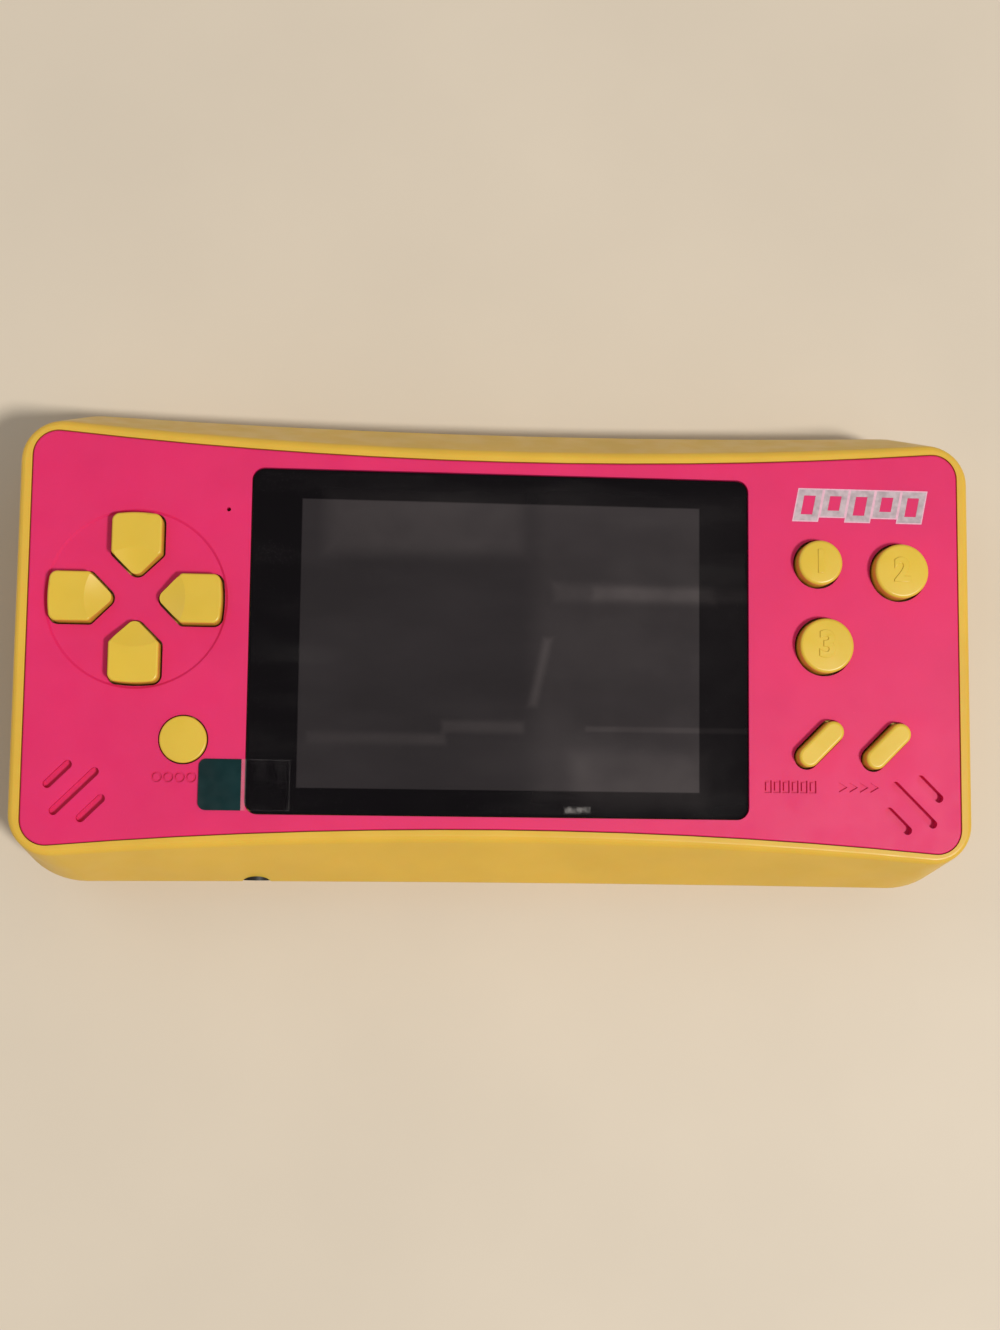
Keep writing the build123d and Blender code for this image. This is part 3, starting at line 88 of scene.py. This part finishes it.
class Surface:
    """A node material under construction, with short calls for the nodes it needs."""

    def __init__(self, name):
        self.material = bpy.data.materials.new(name)
        self.material.use_nodes = True
        self.tree = self.material.node_tree
        self.shader = self.tree.nodes["Principled BSDF"]
        self.coords = self.tree.nodes.new("ShaderNodeTexCoord").outputs["Object"]

    def link(self, source, target):
        """A link from one socket to another."""
        self.tree.links.new(source, target)

    def set(self, **values):
        """Values on the shader's own sockets, with underscores for spaces."""
        for name, value in values.items():
            self.shader.inputs[name.replace("_", " ")].default_value = value

    def noise(self, size_mm, detail=2.0, stretch=(1, 1, 1), rough=0.5):
        """Noise whose features are about size_mm across."""
        mapping = self.tree.nodes.new("ShaderNodeMapping")
        mapping.inputs["Scale"].default_value = stretch
        self.link(self.coords, mapping.inputs["Vector"])
        node = self.tree.nodes.new("ShaderNodeTexNoise")
        node.inputs["Scale"].default_value = 1 / (size_mm * MM)
        node.inputs["Detail"].default_value = detail
        node.inputs["Roughness"].default_value = rough
        self.link(mapping.outputs["Vector"], node.inputs["Vector"])
        return node.outputs["Fac"]

    def ramp(self, factor, low, high, start=0.35, end=0.65):
        """Colours from low to high as a factor goes from start to end."""
        node = self.tree.nodes.new("ShaderNodeValToRGB")
        node.color_ramp.elements[0].position = start
        node.color_ramp.elements[0].color = low
        node.color_ramp.elements[1].position = end
        node.color_ramp.elements[1].color = high
        self.link(factor, node.inputs["Fac"])
        return node.outputs["Color"]

    def span(self, factor, low, high, start=0.3, end=0.7):
        """Numbers from low to high as a factor goes from start to end."""
        node = self.tree.nodes.new("ShaderNodeMapRange")
        node.interpolation_type = "SMOOTHSTEP"
        node.inputs["From Min"].default_value = start
        node.inputs["From Max"].default_value = end
        node.inputs["To Min"].default_value = low
        node.inputs["To Max"].default_value = high
        self.link(factor, node.inputs["Value"])
        return node.outputs["Result"]

    def mix(self, factor, first, second):
        """Colour first where factor is 0 and second where it is 1."""
        node = self.tree.nodes.new("ShaderNodeMix")
        node.data_type = "RGBA"
        self.put(factor, node.inputs[0])
        self.put(first, node.inputs[6])
        self.put(second, node.inputs[7])
        return node.outputs[2]

    def put(self, value, socket):
        """A link or a plain value into a socket."""
        if isinstance(value, bpy.types.NodeSocket):
            self.link(value, socket)
        else:
            socket.default_value = value

    def math(self, operation, first, second=0.0):
        """Result of a sum on two values, each a socket or a plain number."""
        node = self.tree.nodes.new("ShaderNodeMath")
        node.operation = operation
        self.put(first, node.inputs[0])
        self.put(second, node.inputs[1])
        return node.outputs[0]

    def axes(self):
        """The three object coordinates, in metres."""
        node = self.tree.nodes.new("ShaderNodeSeparateXYZ")
        self.link(self.coords, node.inputs[0])
        return node.outputs[0], node.outputs[1], node.outputs[2]

    def bump(self, height, depth_mm, strength=1.0):
        """Relief on the surface from a height factor."""
        node = self.tree.nodes.new("ShaderNodeBump")
        node.inputs["Strength"].default_value = strength
        node.inputs["Distance"].default_value = depth_mm * MM
        self.link(height, node.inputs["Height"])
        if self.shader.inputs["Normal"].is_linked:
            self.link(self.shader.inputs["Normal"].links[0].from_socket, node.inputs["Normal"])
        self.link(node.outputs["Normal"], self.shader.inputs["Normal"])


def shade(colour, share):
    """A colour made darker or lighter by a share."""
    return (*[min(1.0, level * share) for level in colour[:3]], 1.0)


def moulded_plastic(name, colour, rough, grain_mm=0.22, grain_depth_mm=0.012, mottle=0.07):
    """Moulded plastic: faint cloudy colour, fine spark-eroded grain and uneven gloss."""
    s = Surface(name)
    cloud = s.noise(14, detail=4)
    dark, light = shade(colour, 1 - mottle), shade(colour, 1 + mottle)
    s.link(s.ramp(cloud, dark, light), s.shader.inputs["Base Color"])
    s.link(s.span(s.noise(5, detail=3), rough - 0.05, rough + 0.07), s.shader.inputs["Roughness"])
    s.bump(s.noise(grain_mm, detail=2), grain_depth_mm, 0.5)
    return s


def painted_dust(s, colour, amount):
    """A sparse dusting of fine pale specks over the base colour."""
    base = s.shader.inputs["Base Color"].links[0].from_socket
    specks = s.span(s.noise(0.35, detail=1), 0.0, amount, 0.70, 0.76)
    s.link(s.mix(specks, base, colour), s.shader.inputs["Base Color"])


# Colours
pink = srgb(223, 36, 102)
yellow = srgb(222, 179, 66)
key_yellow = srgb(221, 185, 60)
window_black = srgb(8, 5, 8)
display_grey = srgb(44, 40, 42)
glare_grey = srgb(112, 104, 104)
tab_green = srgb(9, 41, 43)
silver = srgb(190, 172, 178)
silver_edge = srgb(226, 176, 194)
green_lacquer = srgb(24, 78, 46)


def pink_plastic():
    """Bright panel plastic that light enters a little way."""
    s = moulded_plastic("pink_plastic", pink, 0.46, mottle=0.035)
    painted_dust(s, shade(pink, 1.5), 0.12)
    s.set(Specular_IOR_Level=0.35, Subsurface_Weight=0.25, Subsurface_Scale=0.0015)
    return s.material


def yellow_plastic():
    """Yellow plastic of both halves of the case."""
    s = moulded_plastic("yellow_plastic", yellow, 0.36, grain_depth_mm=0.006, mottle=0.04)
    s.set(Specular_IOR_Level=0.3, Subsurface_Weight=0.2, Subsurface_Scale=0.0015)
    return s.material


def yellow_key():
    """Slightly glossier yellow plastic of the keys."""
    s = moulded_plastic("yellow_key", key_yellow, 0.33, grain_depth_mm=0.004, mottle=0.04)
    s.set(Subsurface_Weight=0.08, Subsurface_Scale=0.001)
    return s.material


# Soft reflections on the window: low x, high x, low y, high y, softness (mm) and strength
window_glare = [
    (8.0, 33.0, 6.9, 9.5, 2.0, 0.13),
    (14.0, 38.3, 7.2, 9.2, 1.4, 0.10),
    (-29.5, -8.5, -15.5, -13.9, 1.2, 0.09),
    (-9.0, 3.4, -13.6, -11.9, 1.2, 0.13),
    (13.0, 38.3, -13.2, -12.4, 0.5, 0.12),
    (10.8, 31.5, -25.5, -16.8, 4.0, 0.14),
    (-27.0, 3.0, 14.0, 23.0, 4.0, 0.12),
    (5.0, 38.3, -24.0, 24.0, 5.0, 0.07),
]
# Leaning streak: middle x, middle y, half-length, half-width, lean, softness (mm) and strength
streak_glare = (5.9, -4.2, 5.2, 0.6, 0.22, 1.4, 0.15)

# Clear view through the window, set against the display glass (mm)
view_shift_x = -0.05
view_shift_y = -0.25
view_border_side = 2.45
view_border_end = 3.2
view_edge_soft = 0.25
border_glare_share = 0.35


def soft_box(s, x, y, low_x, high_x, low_y, high_y, soft):
    """1 inside a box given in millimetres and 0 outside, with a soft edge."""
    across = s.math("ABSOLUTE", s.math("SUBTRACT", x, (low_x + high_x) / 2 * MM))
    along = s.math("ABSOLUTE", s.math("SUBTRACT", y, (low_y + high_y) / 2 * MM))
    inside_x = s.math("SUBTRACT", (high_x - low_x) / 2 * MM, across)
    inside_y = s.math("SUBTRACT", (high_y - low_y) / 2 * MM, along)
    return s.span(s.math("MINIMUM", inside_x, inside_y), 0.0, 1.0, -soft * MM / 2, soft * MM / 2)


def glare_amount(s, x, y):
    """Sum of the soft reflections on the window."""
    total = 0.0
    for low_x, high_x, low_y, high_y, soft, strength in window_glare:
        box = soft_box(s, x, y, low_x, high_x, low_y, high_y, soft)
        total = s.math("ADD", total, s.math("MULTIPLY", box, strength))
    middle_x, middle_y, half_length, half_width, lean, soft, strength = streak_glare
    leaning = s.math("SUBTRACT", x, s.math("MULTIPLY", s.math("SUBTRACT", y, middle_y * MM), lean))
    box = soft_box(
        s, leaning, y, middle_x - half_width, middle_x + half_width,
        middle_y - half_length, middle_y + half_length, soft,
    )
    total = s.math("ADD", total, s.math("MULTIPLY", box, strength))
    return s.math("MULTIPLY", total, s.span(s.noise(9, detail=3), 0.7, 1.2))


def window_surface():
    """Dark glossy window: black printed border round the clear view of the display."""
    s = Surface("black_window")
    x, y, _ = s.axes()
    low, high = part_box("lcd_glass")
    middle_x = (low.x + high.x) / 2 / MM + view_shift_x
    half_x = (high.x - low.x) / 2 / MM - view_border_side
    half_y = (high.y - low.y) / 2 / MM - view_border_end
    inside = soft_box(
        s, x, y, middle_x - half_x, middle_x + half_x,
        view_shift_y - half_y, view_shift_y + half_y, view_edge_soft,
    )
    cloud = s.noise(22, detail=4, stretch=(0.6, 1.5, 1))
    display = s.ramp(cloud, shade(display_grey, 0.86), shade(display_grey, 1.14))
    glare = glare_amount(s, x, y)
    lit = s.mix(glare, display, glare_grey)
    border = s.mix(s.math("MULTIPLY", glare, border_glare_share), window_black, glare_grey)
    s.link(s.mix(inside, border, lit), s.shader.inputs["Base Color"])
    s.link(s.span(s.noise(9, detail=4), 0.10, 0.2), s.shader.inputs["Roughness"])
    s.set(Specular_IOR_Level=0.14)
    s.bump(s.noise(18, detail=2), 0.02, 0.4)
    return s.material


# Painted highlight where the film has lifted, under the lower edge of the display: low x, high x, low y,
# high y and softness (mm)
film_lift_highlight = (9.9, 13.6, -25.6, -24.9, 0.7)
film_speck_veil = 0.012


def clear_film():
    """Thin clear film with faint streaks, and a painted highlight where it has lifted."""
    s = Surface("clear_film")
    x, y, _ = s.axes()
    haze = s.noise(14, detail=5, stretch=(0.35, 1.5, 1), rough=0.6)
    specks = s.span(s.noise(0.5, detail=2), 0.0, 0.5, 0.72, 0.78)
    # Painted highlight: a pale patch in the film's veil where its lifted edge would catch the light
    lift_highlight_place = soft_box(s, x, y, *film_lift_highlight)
    lift_highlight = s.math("MULTIPLY", lift_highlight_place, s.span(s.noise(0.7), 0.03, 0.22))
    veil = s.math("ADD", s.span(haze, 0.0, 0.006, 0.45, 0.75), s.math("MULTIPLY", specks, film_speck_veil))
    s.link(s.math("ADD", veil, lift_highlight), s.shader.inputs["Alpha"])
    s.link(s.ramp(haze, srgb(150, 146, 148), srgb(214, 208, 204)), s.shader.inputs["Base Color"])
    s.link(s.span(haze, 0.15, 0.3), s.shader.inputs["Roughness"])
    s.bump(s.noise(3, detail=3), 0.01, 0.5)
    return s.material


def green_tab():
    """Dark green pull tab printed on the film, slightly creased."""
    s = Surface("green_tab")
    cloud = s.noise(6, detail=4)
    s.link(s.ramp(cloud, shade(tab_green, 0.8), shade(tab_green, 1.25)), s.shader.inputs["Base Color"])
    s.link(s.span(s.noise(2.5), 0.3, 0.45), s.shader.inputs["Roughness"])
    s.set(Specular_IOR_Level=0.15)
    s.bump(s.noise(1.6, detail=3, stretch=(1, 0.4, 1)), 0.02, 0.5)
    return s.material


# Clear end of the pull tab: painted light over the step where the strip lies in shade, a pale veil at the
# edges, and the width of those edges (mm)
bridge_painted_light = 0.1
edge_veil = 0.02
tab_edge_width = 0.12


def tab_clear():
    """Clear strip between the green tab and the film, paler at its edges, with painted light over the step.
    """
    s = Surface("tab_clear")
    x, y, _ = s.axes()
    low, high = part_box("film_pull_tab")
    crease = s.noise(2.2, detail=3, stretch=(1, 0.5, 1))
    inside = soft_box(
        s, x, y, low.x / MM, high.x / MM - tab_edge_width,
        low.y / MM + tab_edge_width, high.y / MM - tab_edge_width, tab_edge_width,
    )
    edge = s.math("SUBTRACT", 1.0, inside)
    window_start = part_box("screen_window")[0].x / MM
    # Painted light: a pale veil over the strip at the step, lifting it where it lies in shade
    step_painted_light = soft_box(s, x, y, low.x / MM, window_start, low.y / MM, high.y / MM, 0.3)
    veil = s.math("ADD", s.span(crease, 0.0, 0.008, 0.4, 0.75), s.math("MULTIPLY", step_painted_light, bridge_painted_light))
    s.link(s.math("ADD", veil, s.math("MULTIPLY", edge, edge_veil)), s.shader.inputs["Alpha"])
    s.link(s.ramp(crease, srgb(150, 146, 148), srgb(214, 206, 208)), s.shader.inputs["Base Color"])
    s.link(s.span(crease, 0.12, 0.3), s.shader.inputs["Roughness"])
    s.bump(crease, 0.012, 0.5)
    return s.material


def plain_rubber(name, colour, rough=0.7):
    """Evenly coloured rubber, paper, glass or plastic with a faint grain."""
    s = Surface(name)
    cloud = s.noise(4, detail=4)
    s.link(s.ramp(cloud, shade(colour, 0.88), shade(colour, 1.1)), s.shader.inputs["Base Color"])
    s.link(s.span(s.noise(1.2, detail=3), rough - 0.1, rough + 0.1), s.shader.inputs["Roughness"])
    s.bump(s.noise(0.15, detail=2), 0.01, 0.5)
    return s.material


def brushed_metal(name, colour, rough=0.3):
    """Metal with fine brushed lines."""
    s = Surface(name)
    brushed = s.noise(0.4, detail=3, stretch=(1, 8, 1))
    s.link(s.ramp(brushed, shade(colour, 0.82), shade(colour, 1.1)), s.shader.inputs["Base Color"])
    s.link(s.span(brushed, rough - 0.08, rough + 0.12), s.shader.inputs["Roughness"])
    s.set(Metallic=1.0)
    s.bump(brushed, 0.006, 0.4)
    return s.material


# Copper tracks: waves per metre across the board, and how far they lean
track_waves = 5200.0
track_lean = 0.35


def board_lacquer():
    """Solder mask with paler copper tracks under it."""
    s = Surface("green_board")
    x, y, _ = s.axes()
    slanted = s.math("ADD", x, s.math("MULTIPLY", y, track_lean))
    lines = s.math("SINE", s.math("MULTIPLY", slanted, track_waves))
    gate = s.span(s.noise(6, detail=1), 0.0, 1.0, 0.45, 0.5)
    track = s.math("MULTIPLY", s.span(lines, 0.0, 1.0, 0.55, 0.7), gate)
    s.link(s.mix(track, green_lacquer, shade(green_lacquer, 1.9)), s.shader.inputs["Base Color"])
    s.link(s.span(s.noise(3), 0.28, 0.4), s.shader.inputs["Roughness"])
    s.bump(track, 0.02, 0.4)
    return s.material


# Battery sleeve: where its second colour starts, and how far that line wanders and blurs (mm)
sleeve_split = 9.0
sleeve_wander = 2.0
sleeve_blur = 0.2


def sleeve():
    """Battery sleeve: two plain colours with a band between them."""
    s = Surface("cell_sleeve")
    x, _, _ = s.axes()
    wave = s.noise(9, detail=2)
    wandering = s.math("ADD", x, s.math("MULTIPLY", wave, sleeve_wander * MM))
    start, end = (sleeve_split - sleeve_blur) * MM, (sleeve_split + sleeve_blur) * MM
    split = s.span(wandering, 0.0, 1.0, start, end)
    s.link(s.mix(split, srgb(46, 48, 56), srgb(190, 142, 70)), s.shader.inputs["Base Color"])
    s.link(s.span(s.noise(2), 0.22, 0.34), s.shader.inputs["Roughness"])
    s.set(Metallic=0.3)
    s.bump(wave, 0.02, 0.3)
    return s.material


# One material for each material slot of the record
slot_materials = {
    "pink_plastic": pink_plastic(),
    "yellow_plastic": yellow_plastic(),
    "yellow_key": yellow_key(),
    "black_window": window_surface(),
    "clear_film": clear_film(),
    "green_tab": green_tab(),
    "black_foam": plain_rubber("black_foam", srgb(38, 38, 40), 0.85),
    "display_glass": plain_rubber("display_glass", srgb(46, 44, 50), 0.25),
    "white_plastic": plain_rubber("white_plastic", srgb(214, 212, 206), 0.5),
    "amber_ribbon": plain_rubber("amber_ribbon", srgb(176, 112, 44), 0.4),
    "green_board": board_lacquer(),
    "grey_rubber": plain_rubber("grey_rubber", srgb(120, 122, 124), 0.7),
    "black_plastic": moulded_plastic("black_plastic", srgb(16, 15, 16), 0.5).material,
    "plated_metal": brushed_metal("plated_metal", srgb(190, 188, 182)),
    "cell_sleeve": sleeve(),
    "black_paper": plain_rubber("black_paper", srgb(34, 32, 32), 0.8),
    "magnet_metal": brushed_metal("magnet_metal", srgb(110, 110, 114), 0.4),
    "red_lens": plain_rubber("red_lens", srgb(150, 24, 20), 0.2),
    "chip_black": plain_rubber("chip_black", srgb(30, 30, 32), 0.55),
    "can_metal": brushed_metal("can_metal", srgb(180, 180, 178), 0.25),
}

for part in frame["record"]["subparts"]:
    node = nodes[part["node"]]
    node.data.materials.clear()
    node.data.materials.append(slot_materials[part["material_slot"]])


def new_piece(name, mesh, material, body):
    """Put a finished mesh in the scene on its body, with its material."""
    mesh.materials.append(material)
    piece = bpy.data.objects.new(name, mesh)
    bpy.context.scene.collection.objects.link(piece)
    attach(piece, body)
    return piece


def smooth_sharp(mesh, angle=35):
    """Smooth faces, with sharp edges where they turn by more than an angle."""
    mesh.polygons.foreach_set("use_smooth", [True] * len(mesh.polygons))
    mesh.set_sharp_from_angle(angle=math.radians(angle))


def grid_mesh(name, columns, rows, point):
    """Sheet of quads whose points are point(across, along), with shares from 0 to 1."""
    mesh = bpy.data.meshes.new(name)
    points = [point(i / columns, j / rows) for j in range(rows + 1) for i in range(columns + 1)]
    width = columns + 1
    faces = [
        (j * width + i, j * width + i + 1, (j + 1) * width + i + 1, (j + 1) * width + i)
        for j in range(rows)
        for i in range(columns)
    ]
    mesh.from_pydata(points, [], faces)
    mesh.update()
    return mesh


def thicken(mesh, thickness):
    """Give a sheet its thickness, downwards from its points."""
    work = bmesh.new()
    work.from_mesh(mesh)
    top = list(work.faces)
    copied = bmesh.ops.duplicate(work, geom=list(work.verts) + list(work.edges) + top)
    lower = [item for item in copied["geom"] if isinstance(item, bmesh.types.BMVert)]
    bmesh.ops.translate(work, vec=(0, 0, -thickness), verts=lower)
    bmesh.ops.reverse_faces(work, faces=[f for f in copied["geom"] if isinstance(f, bmesh.types.BMFace)])
    rims = [edge for edge in work.edges if len(edge.link_faces) == 1]
    bmesh.ops.bridge_loops(work, edges=rims)
    bmesh.ops.recalc_face_normals(work, faces=work.faces)
    work.to_mesh(mesh)
    work.free()


# Film over the window
film_low, film_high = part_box("screen_film")
film_corner = 1.45 * MM
film_sheet = 0.03 * MM
film_wave = 0.012 * MM
film_wave_length = 11 * MM
film_wave_height = 6 * MM
film_columns = 120
film_rows = 84


def rounded_share(across, along, low, high, corner):
    """Point of a rectangle with rounded corners, from shares of its width and height."""
    x = low.x + (high.x - low.x) * across
    y = low.y + (high.y - low.y) * along
    inner_x = min(max(x, low.x + corner), high.x - corner)
    inner_y = min(max(y, low.y + corner), high.y - corner)
    dx, dy = x - inner_x, y - inner_y
    reach = math.hypot(dx, dy)
    if dx and dy and reach > 0:
        longest = max(abs(dx), abs(dy))
        pull = longest / reach
        x, y = inner_x + dx * pull, inner_y + dy * pull
    return x, y


def film_point(across, along):
    """Point of the film's upper face, which waves a little."""
    x, y = rounded_share(across, along, film_low, film_high, film_corner)
    wave = noise.noise(Vector((x / film_wave_length, y / film_wave_height, 0.0)))
    return x, y, film_high.z - film_wave + film_wave * wave


film_mesh = grid_mesh("screen_film_sheet", film_columns, film_rows, film_point)
thicken(film_mesh, film_sheet)
smooth_sharp(film_mesh)
film = new_piece("screen_film_sheet", film_mesh, slot_materials["clear_film"], "case")
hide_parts("screen_film")

# Pull tab: dark green end and clear strip down to the film
tab_low, tab_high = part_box("film_pull_tab")
tab_green_share = 0.465
tab_corner = 1.1 * MM
tab_sheet = 0.1 * MM
tab_curl = 0.25 * MM
tab_curl_reach = 3.5 * MM
tab_lift = 0.14 * MM
tab_wave = 0.03 * MM
tab_wave_length = 2.2 * MM
tab_wave_height = 3.5 * MM
tab_wave_seed = 3.0
tab_columns = 40
tab_rows = 48
plate_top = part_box("faceplate")[1].z
window_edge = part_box("screen_window")[0].x
film_step_start = window_edge + 1.7 * MM
film_step_end = window_edge + 3.0 * MM


def tab_height(x, y):
    """Height of the tab's upper face: on the faceplate, then down onto the film."""
    share = min(1.0, max(0.0, (x - film_step_start) / (film_step_end - film_step_start)))
    share = share * share * (3 - 2 * share)
    high, low = plate_top + tab_lift, film_high.z + tab_lift
    curl = max(0.0, 1 - (x - tab_low.x) / tab_curl_reach)
    lift = tab_curl * curl * curl * (0.4 + 0.6 * (tab_high.y - y) / (tab_high.y - tab_low.y))
    wave = tab_wave * noise.noise(Vector((x / tab_wave_length, y / tab_wave_height, tab_wave_seed)))
    return high + (low - high) * share + lift + wave


def tab_part(name, start, end, corner_side, material):
    """A stretch of the tab between two shares of its length."""
    low = Vector((tab_low.x + (tab_high.x - tab_low.x) * start, tab_low.y, 0))
    high = Vector((tab_low.x + (tab_high.x - tab_low.x) * end, tab_high.y, 0))

    def point(across, along):
        if corner_side and across < 0.5:
            x, y = rounded_share(across, along, low, high, tab_corner)
        else:
            x = low.x + (high.x - low.x) * across
            y = low.y + (high.y - low.y) * along
        return x, y, tab_height(x, y)

    mesh = grid_mesh(name, tab_columns, tab_rows, point)
    thicken(mesh, tab_sheet)
    smooth_sharp(mesh)
    return new_piece(name, mesh, material, "case")


tab = tab_part("film_tab_green", 0.0, tab_green_share, True, slot_materials["green_tab"])
strip = tab_part("film_tab_strip", tab_green_share, 1.0, False, tab_clear())
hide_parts("film_pull_tab")


# Raised numerals: the keys' dome, the relief and the added weight of the strokes (mm)
key_crown = 0.15
number_rise = 0.16
number_weight = 0.15
key_numbers = [
    ("1", "turbo_button", 4.8),
    ("2", "b_button", 5.0),
    ("3", "a_button", 5.6),
]


def numeral(text, node_name, size_mm):
    """Raised plain numeral that follows the dome of a round key."""
    low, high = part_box(node_name)
    centre = Vector(((low.x + high.x) / 2, (low.y + high.y) / 2))
    cap = [v.co for v in nodes[node_name].data.vertices if v.co.z > plate_top + 0.2 * MM]
    radius = max((v.xy - centre).length for v in cap)
    crown = key_crown * MM
    curve = bpy.data.curves.new(node_name + "_number", "FONT")
    curve.body = text
    curve.size = size_mm * MM
    curve.align_x = "CENTER"
    curve.align_y = "CENTER"
    curve.extrude = number_rise / 2 * MM
    curve.offset = number_weight * MM
    curve.bevel_depth = number_rise / 2 * MM
    curve.bevel_resolution = 2
    holder = bpy.data.objects.new(node_name + "_number", curve)
    bpy.context.scene.collection.objects.link(holder)
    bpy.context.view_layer.update()
    mesh = bpy.data.meshes.new_from_object(holder.evaluated_get(bpy.context.evaluated_depsgraph_get()))
    bpy.data.objects.remove(holder)
    mesh.name = node_name + "_number"
    for vertex in mesh.vertices:
        reach = min(1.0, vertex.co.xy.length / radius)
        surface = high.z - crown * reach * reach
        vertex.co.z += surface
        vertex.co.x += centre.x
        vertex.co.y += centre.y
    smooth_sharp(mesh, 50)
    mesh.materials.clear()
    return new_piece(node_name + "_number", mesh, slot_materials["yellow_key"], node_name)


for text, node_name, size_mm in key_numbers:
    numeral(text, node_name, size_mm)


# Printed row of slanted hollow tiles above the round keys
tile_row_left = 45.2
tile_row_right = 65.9
tile_row_bottom = 20.2
tile_row_top = 25.5
tile_count = 5
tile_lean = 0.2
tile_stroke = 0.95
tile_edge = 0.2
tile_drop = 0.7
print_lift = 0.012
print_thickness = 0.01


def silver_print():
    """Silver ink, slightly mottled, with a paler edge line."""
    s = Surface("silver_print")
    cloud = s.noise(0.9, detail=4)
    s.link(s.ramp(cloud, shade(silver, 0.82), shade(silver, 1.06)), s.shader.inputs["Base Color"])
    s.link(s.span(cloud, 0.35, 0.5), s.shader.inputs["Roughness"])
    s.set(Metallic=0.25)
    s.bump(s.noise(0.2), 0.005, 0.4)
    return s.material


def edge_print():
    """Paler ink round the outside of each tile."""
    s = Surface("edge_print")
    cloud = s.noise(0.7, detail=3)
    s.link(s.ramp(cloud, shade(silver_edge, 0.92), shade(silver_edge, 1.04)), s.shader.inputs["Base Color"])
    s.link(s.span(cloud, 0.35, 0.5), s.shader.inputs["Roughness"])
    return s.material


def ring_faces(work, outer, inner, top):
    """Closed flat ring between two four-cornered loops."""
    rows = []
    for height in (top, top - print_thickness):
        for loop in (outer, inner):
            rows.append([work.verts.new((x * MM, y * MM, plate_top + height * MM)) for x, y in loop])
    outer_top, inner_top, outer_low, inner_low = rows
    for first, second in (
        (outer_top, inner_top),
        (inner_top, inner_low),
        (inner_low, outer_low),
        (outer_low, outer_top),
    ):
        for i in range(4):
            j = (i + 1) % 4
            work.faces.new((first[i], first[j], second[j], second[i]))


def tile_corners(index, inset):
    """Corners of a leaning tile; every second one is a little shorter."""
    pitch = (tile_row_right - tile_row_left) / tile_count
    left = tile_row_left + index * pitch + inset
    right = tile_row_left + (index + 1) * pitch - inset
    bottom = tile_row_bottom + (tile_drop if index % 2 else 0.0) + inset
    top = tile_row_top - inset
    corners = [(left, bottom), (right, bottom), (right, top), (left, top)]
    return [(x + tile_lean * (y - tile_row_bottom), y) for x, y in corners]


def printed_tiles(name, outer_inset, inner_inset, lift, material):
    """One layer of the printed row: a closed ring on each tile."""
    work = bmesh.new()
    for index in range(tile_count):
        ring_faces(work, tile_corners(index, outer_inset), tile_corners(index, inner_inset), lift)
    bmesh.ops.recalc_face_normals(work, faces=work.faces)
    mesh = bpy.data.meshes.new(name)
    work.to_mesh(mesh)
    work.free()
    new_piece(name, mesh, material, "case")


printed_tiles("tile_print", tile_edge, tile_edge + tile_stroke, print_lift, silver_print())
printed_tiles("tile_edge_print", 0.0, tile_edge, print_lift, edge_print())


# Floor, lights and world, in metres; a light has a name, place, size, power and colour
floor_size = 3.0
floor_drop = 0.0002
floor_colour = srgb(214, 201, 182)
contact_reach = 1.2 * MM
lights = [
    ("key_light", (0.80, -0.52, 1.75), 0.26, 28.0, (1.0, 0.97, 0.92)),
    ("fill_light", (-0.9, 0.6, 1.1), 0.9, 2.0, (0.95, 0.97, 1.0)),
]
world_colour = (1.0, 0.98, 0.95, 1.0)
world_strength = 0.35


def make_floor():
    """Plain pale floor that lets light through from below, and to the back that rests on it."""
    s = Surface("floor")
    cloud = s.noise(60, detail=5)
    dark, light = shade(floor_colour, 0.97), shade(floor_colour, 1.02)
    s.link(s.ramp(cloud, dark, light), s.shader.inputs["Base Color"])
    s.set(Roughness=0.6)
    behind = s.tree.nodes.new("ShaderNodeNewGeometry").outputs["Backfacing"]
    reach = s.tree.nodes.new("ShaderNodeLightPath").outputs["Ray Length"]
    contact = s.math("LESS_THAN", reach, contact_reach)
    s.link(s.math("SUBTRACT", 1.0, s.math("MAXIMUM", behind, contact)), s.shader.inputs["Alpha"])
    mesh = grid_mesh("floor", 2, 2, lambda a, b: ((a - 0.5) * floor_size, (b - 0.5) * floor_size, 0.0))
    mesh.materials.append(s.material)
    floor = bpy.data.objects.new("floor", mesh)
    floor.location.z = -floor_drop
    bpy.context.scene.collection.objects.link(floor)


def area_light(name, place, size, watts, colour):
    """Round soft light that faces the middle of the console's back."""
    data = bpy.data.lights.new(name, "AREA")
    data.shape = "DISK"
    data.size = size
    data.energy = watts
    data.color = colour
    lamp = bpy.data.objects.new(name, data)
    lamp.location = place
    lamp.rotation_mode = "QUATERNION"
    lamp.rotation_quaternion = (-Vector(place)).to_track_quat("-Z", "Y")
    bpy.context.scene.collection.objects.link(lamp)


def make_light():
    """Both lights and the pale even world."""
    for name, place, size, watts, colour in lights:
        area_light(name, place, size, watts, colour)
    world = bpy.data.worlds.new("world")
    bpy.context.scene.world = world
    world.use_nodes = True
    background = world.node_tree.nodes["Background"]
    background.inputs["Color"].default_value = world_colour
    background.inputs["Strength"].default_value = world_strength


make_floor()
make_light()
make_camera()
bpy.context.scene.view_settings.view_transform = "Standard"
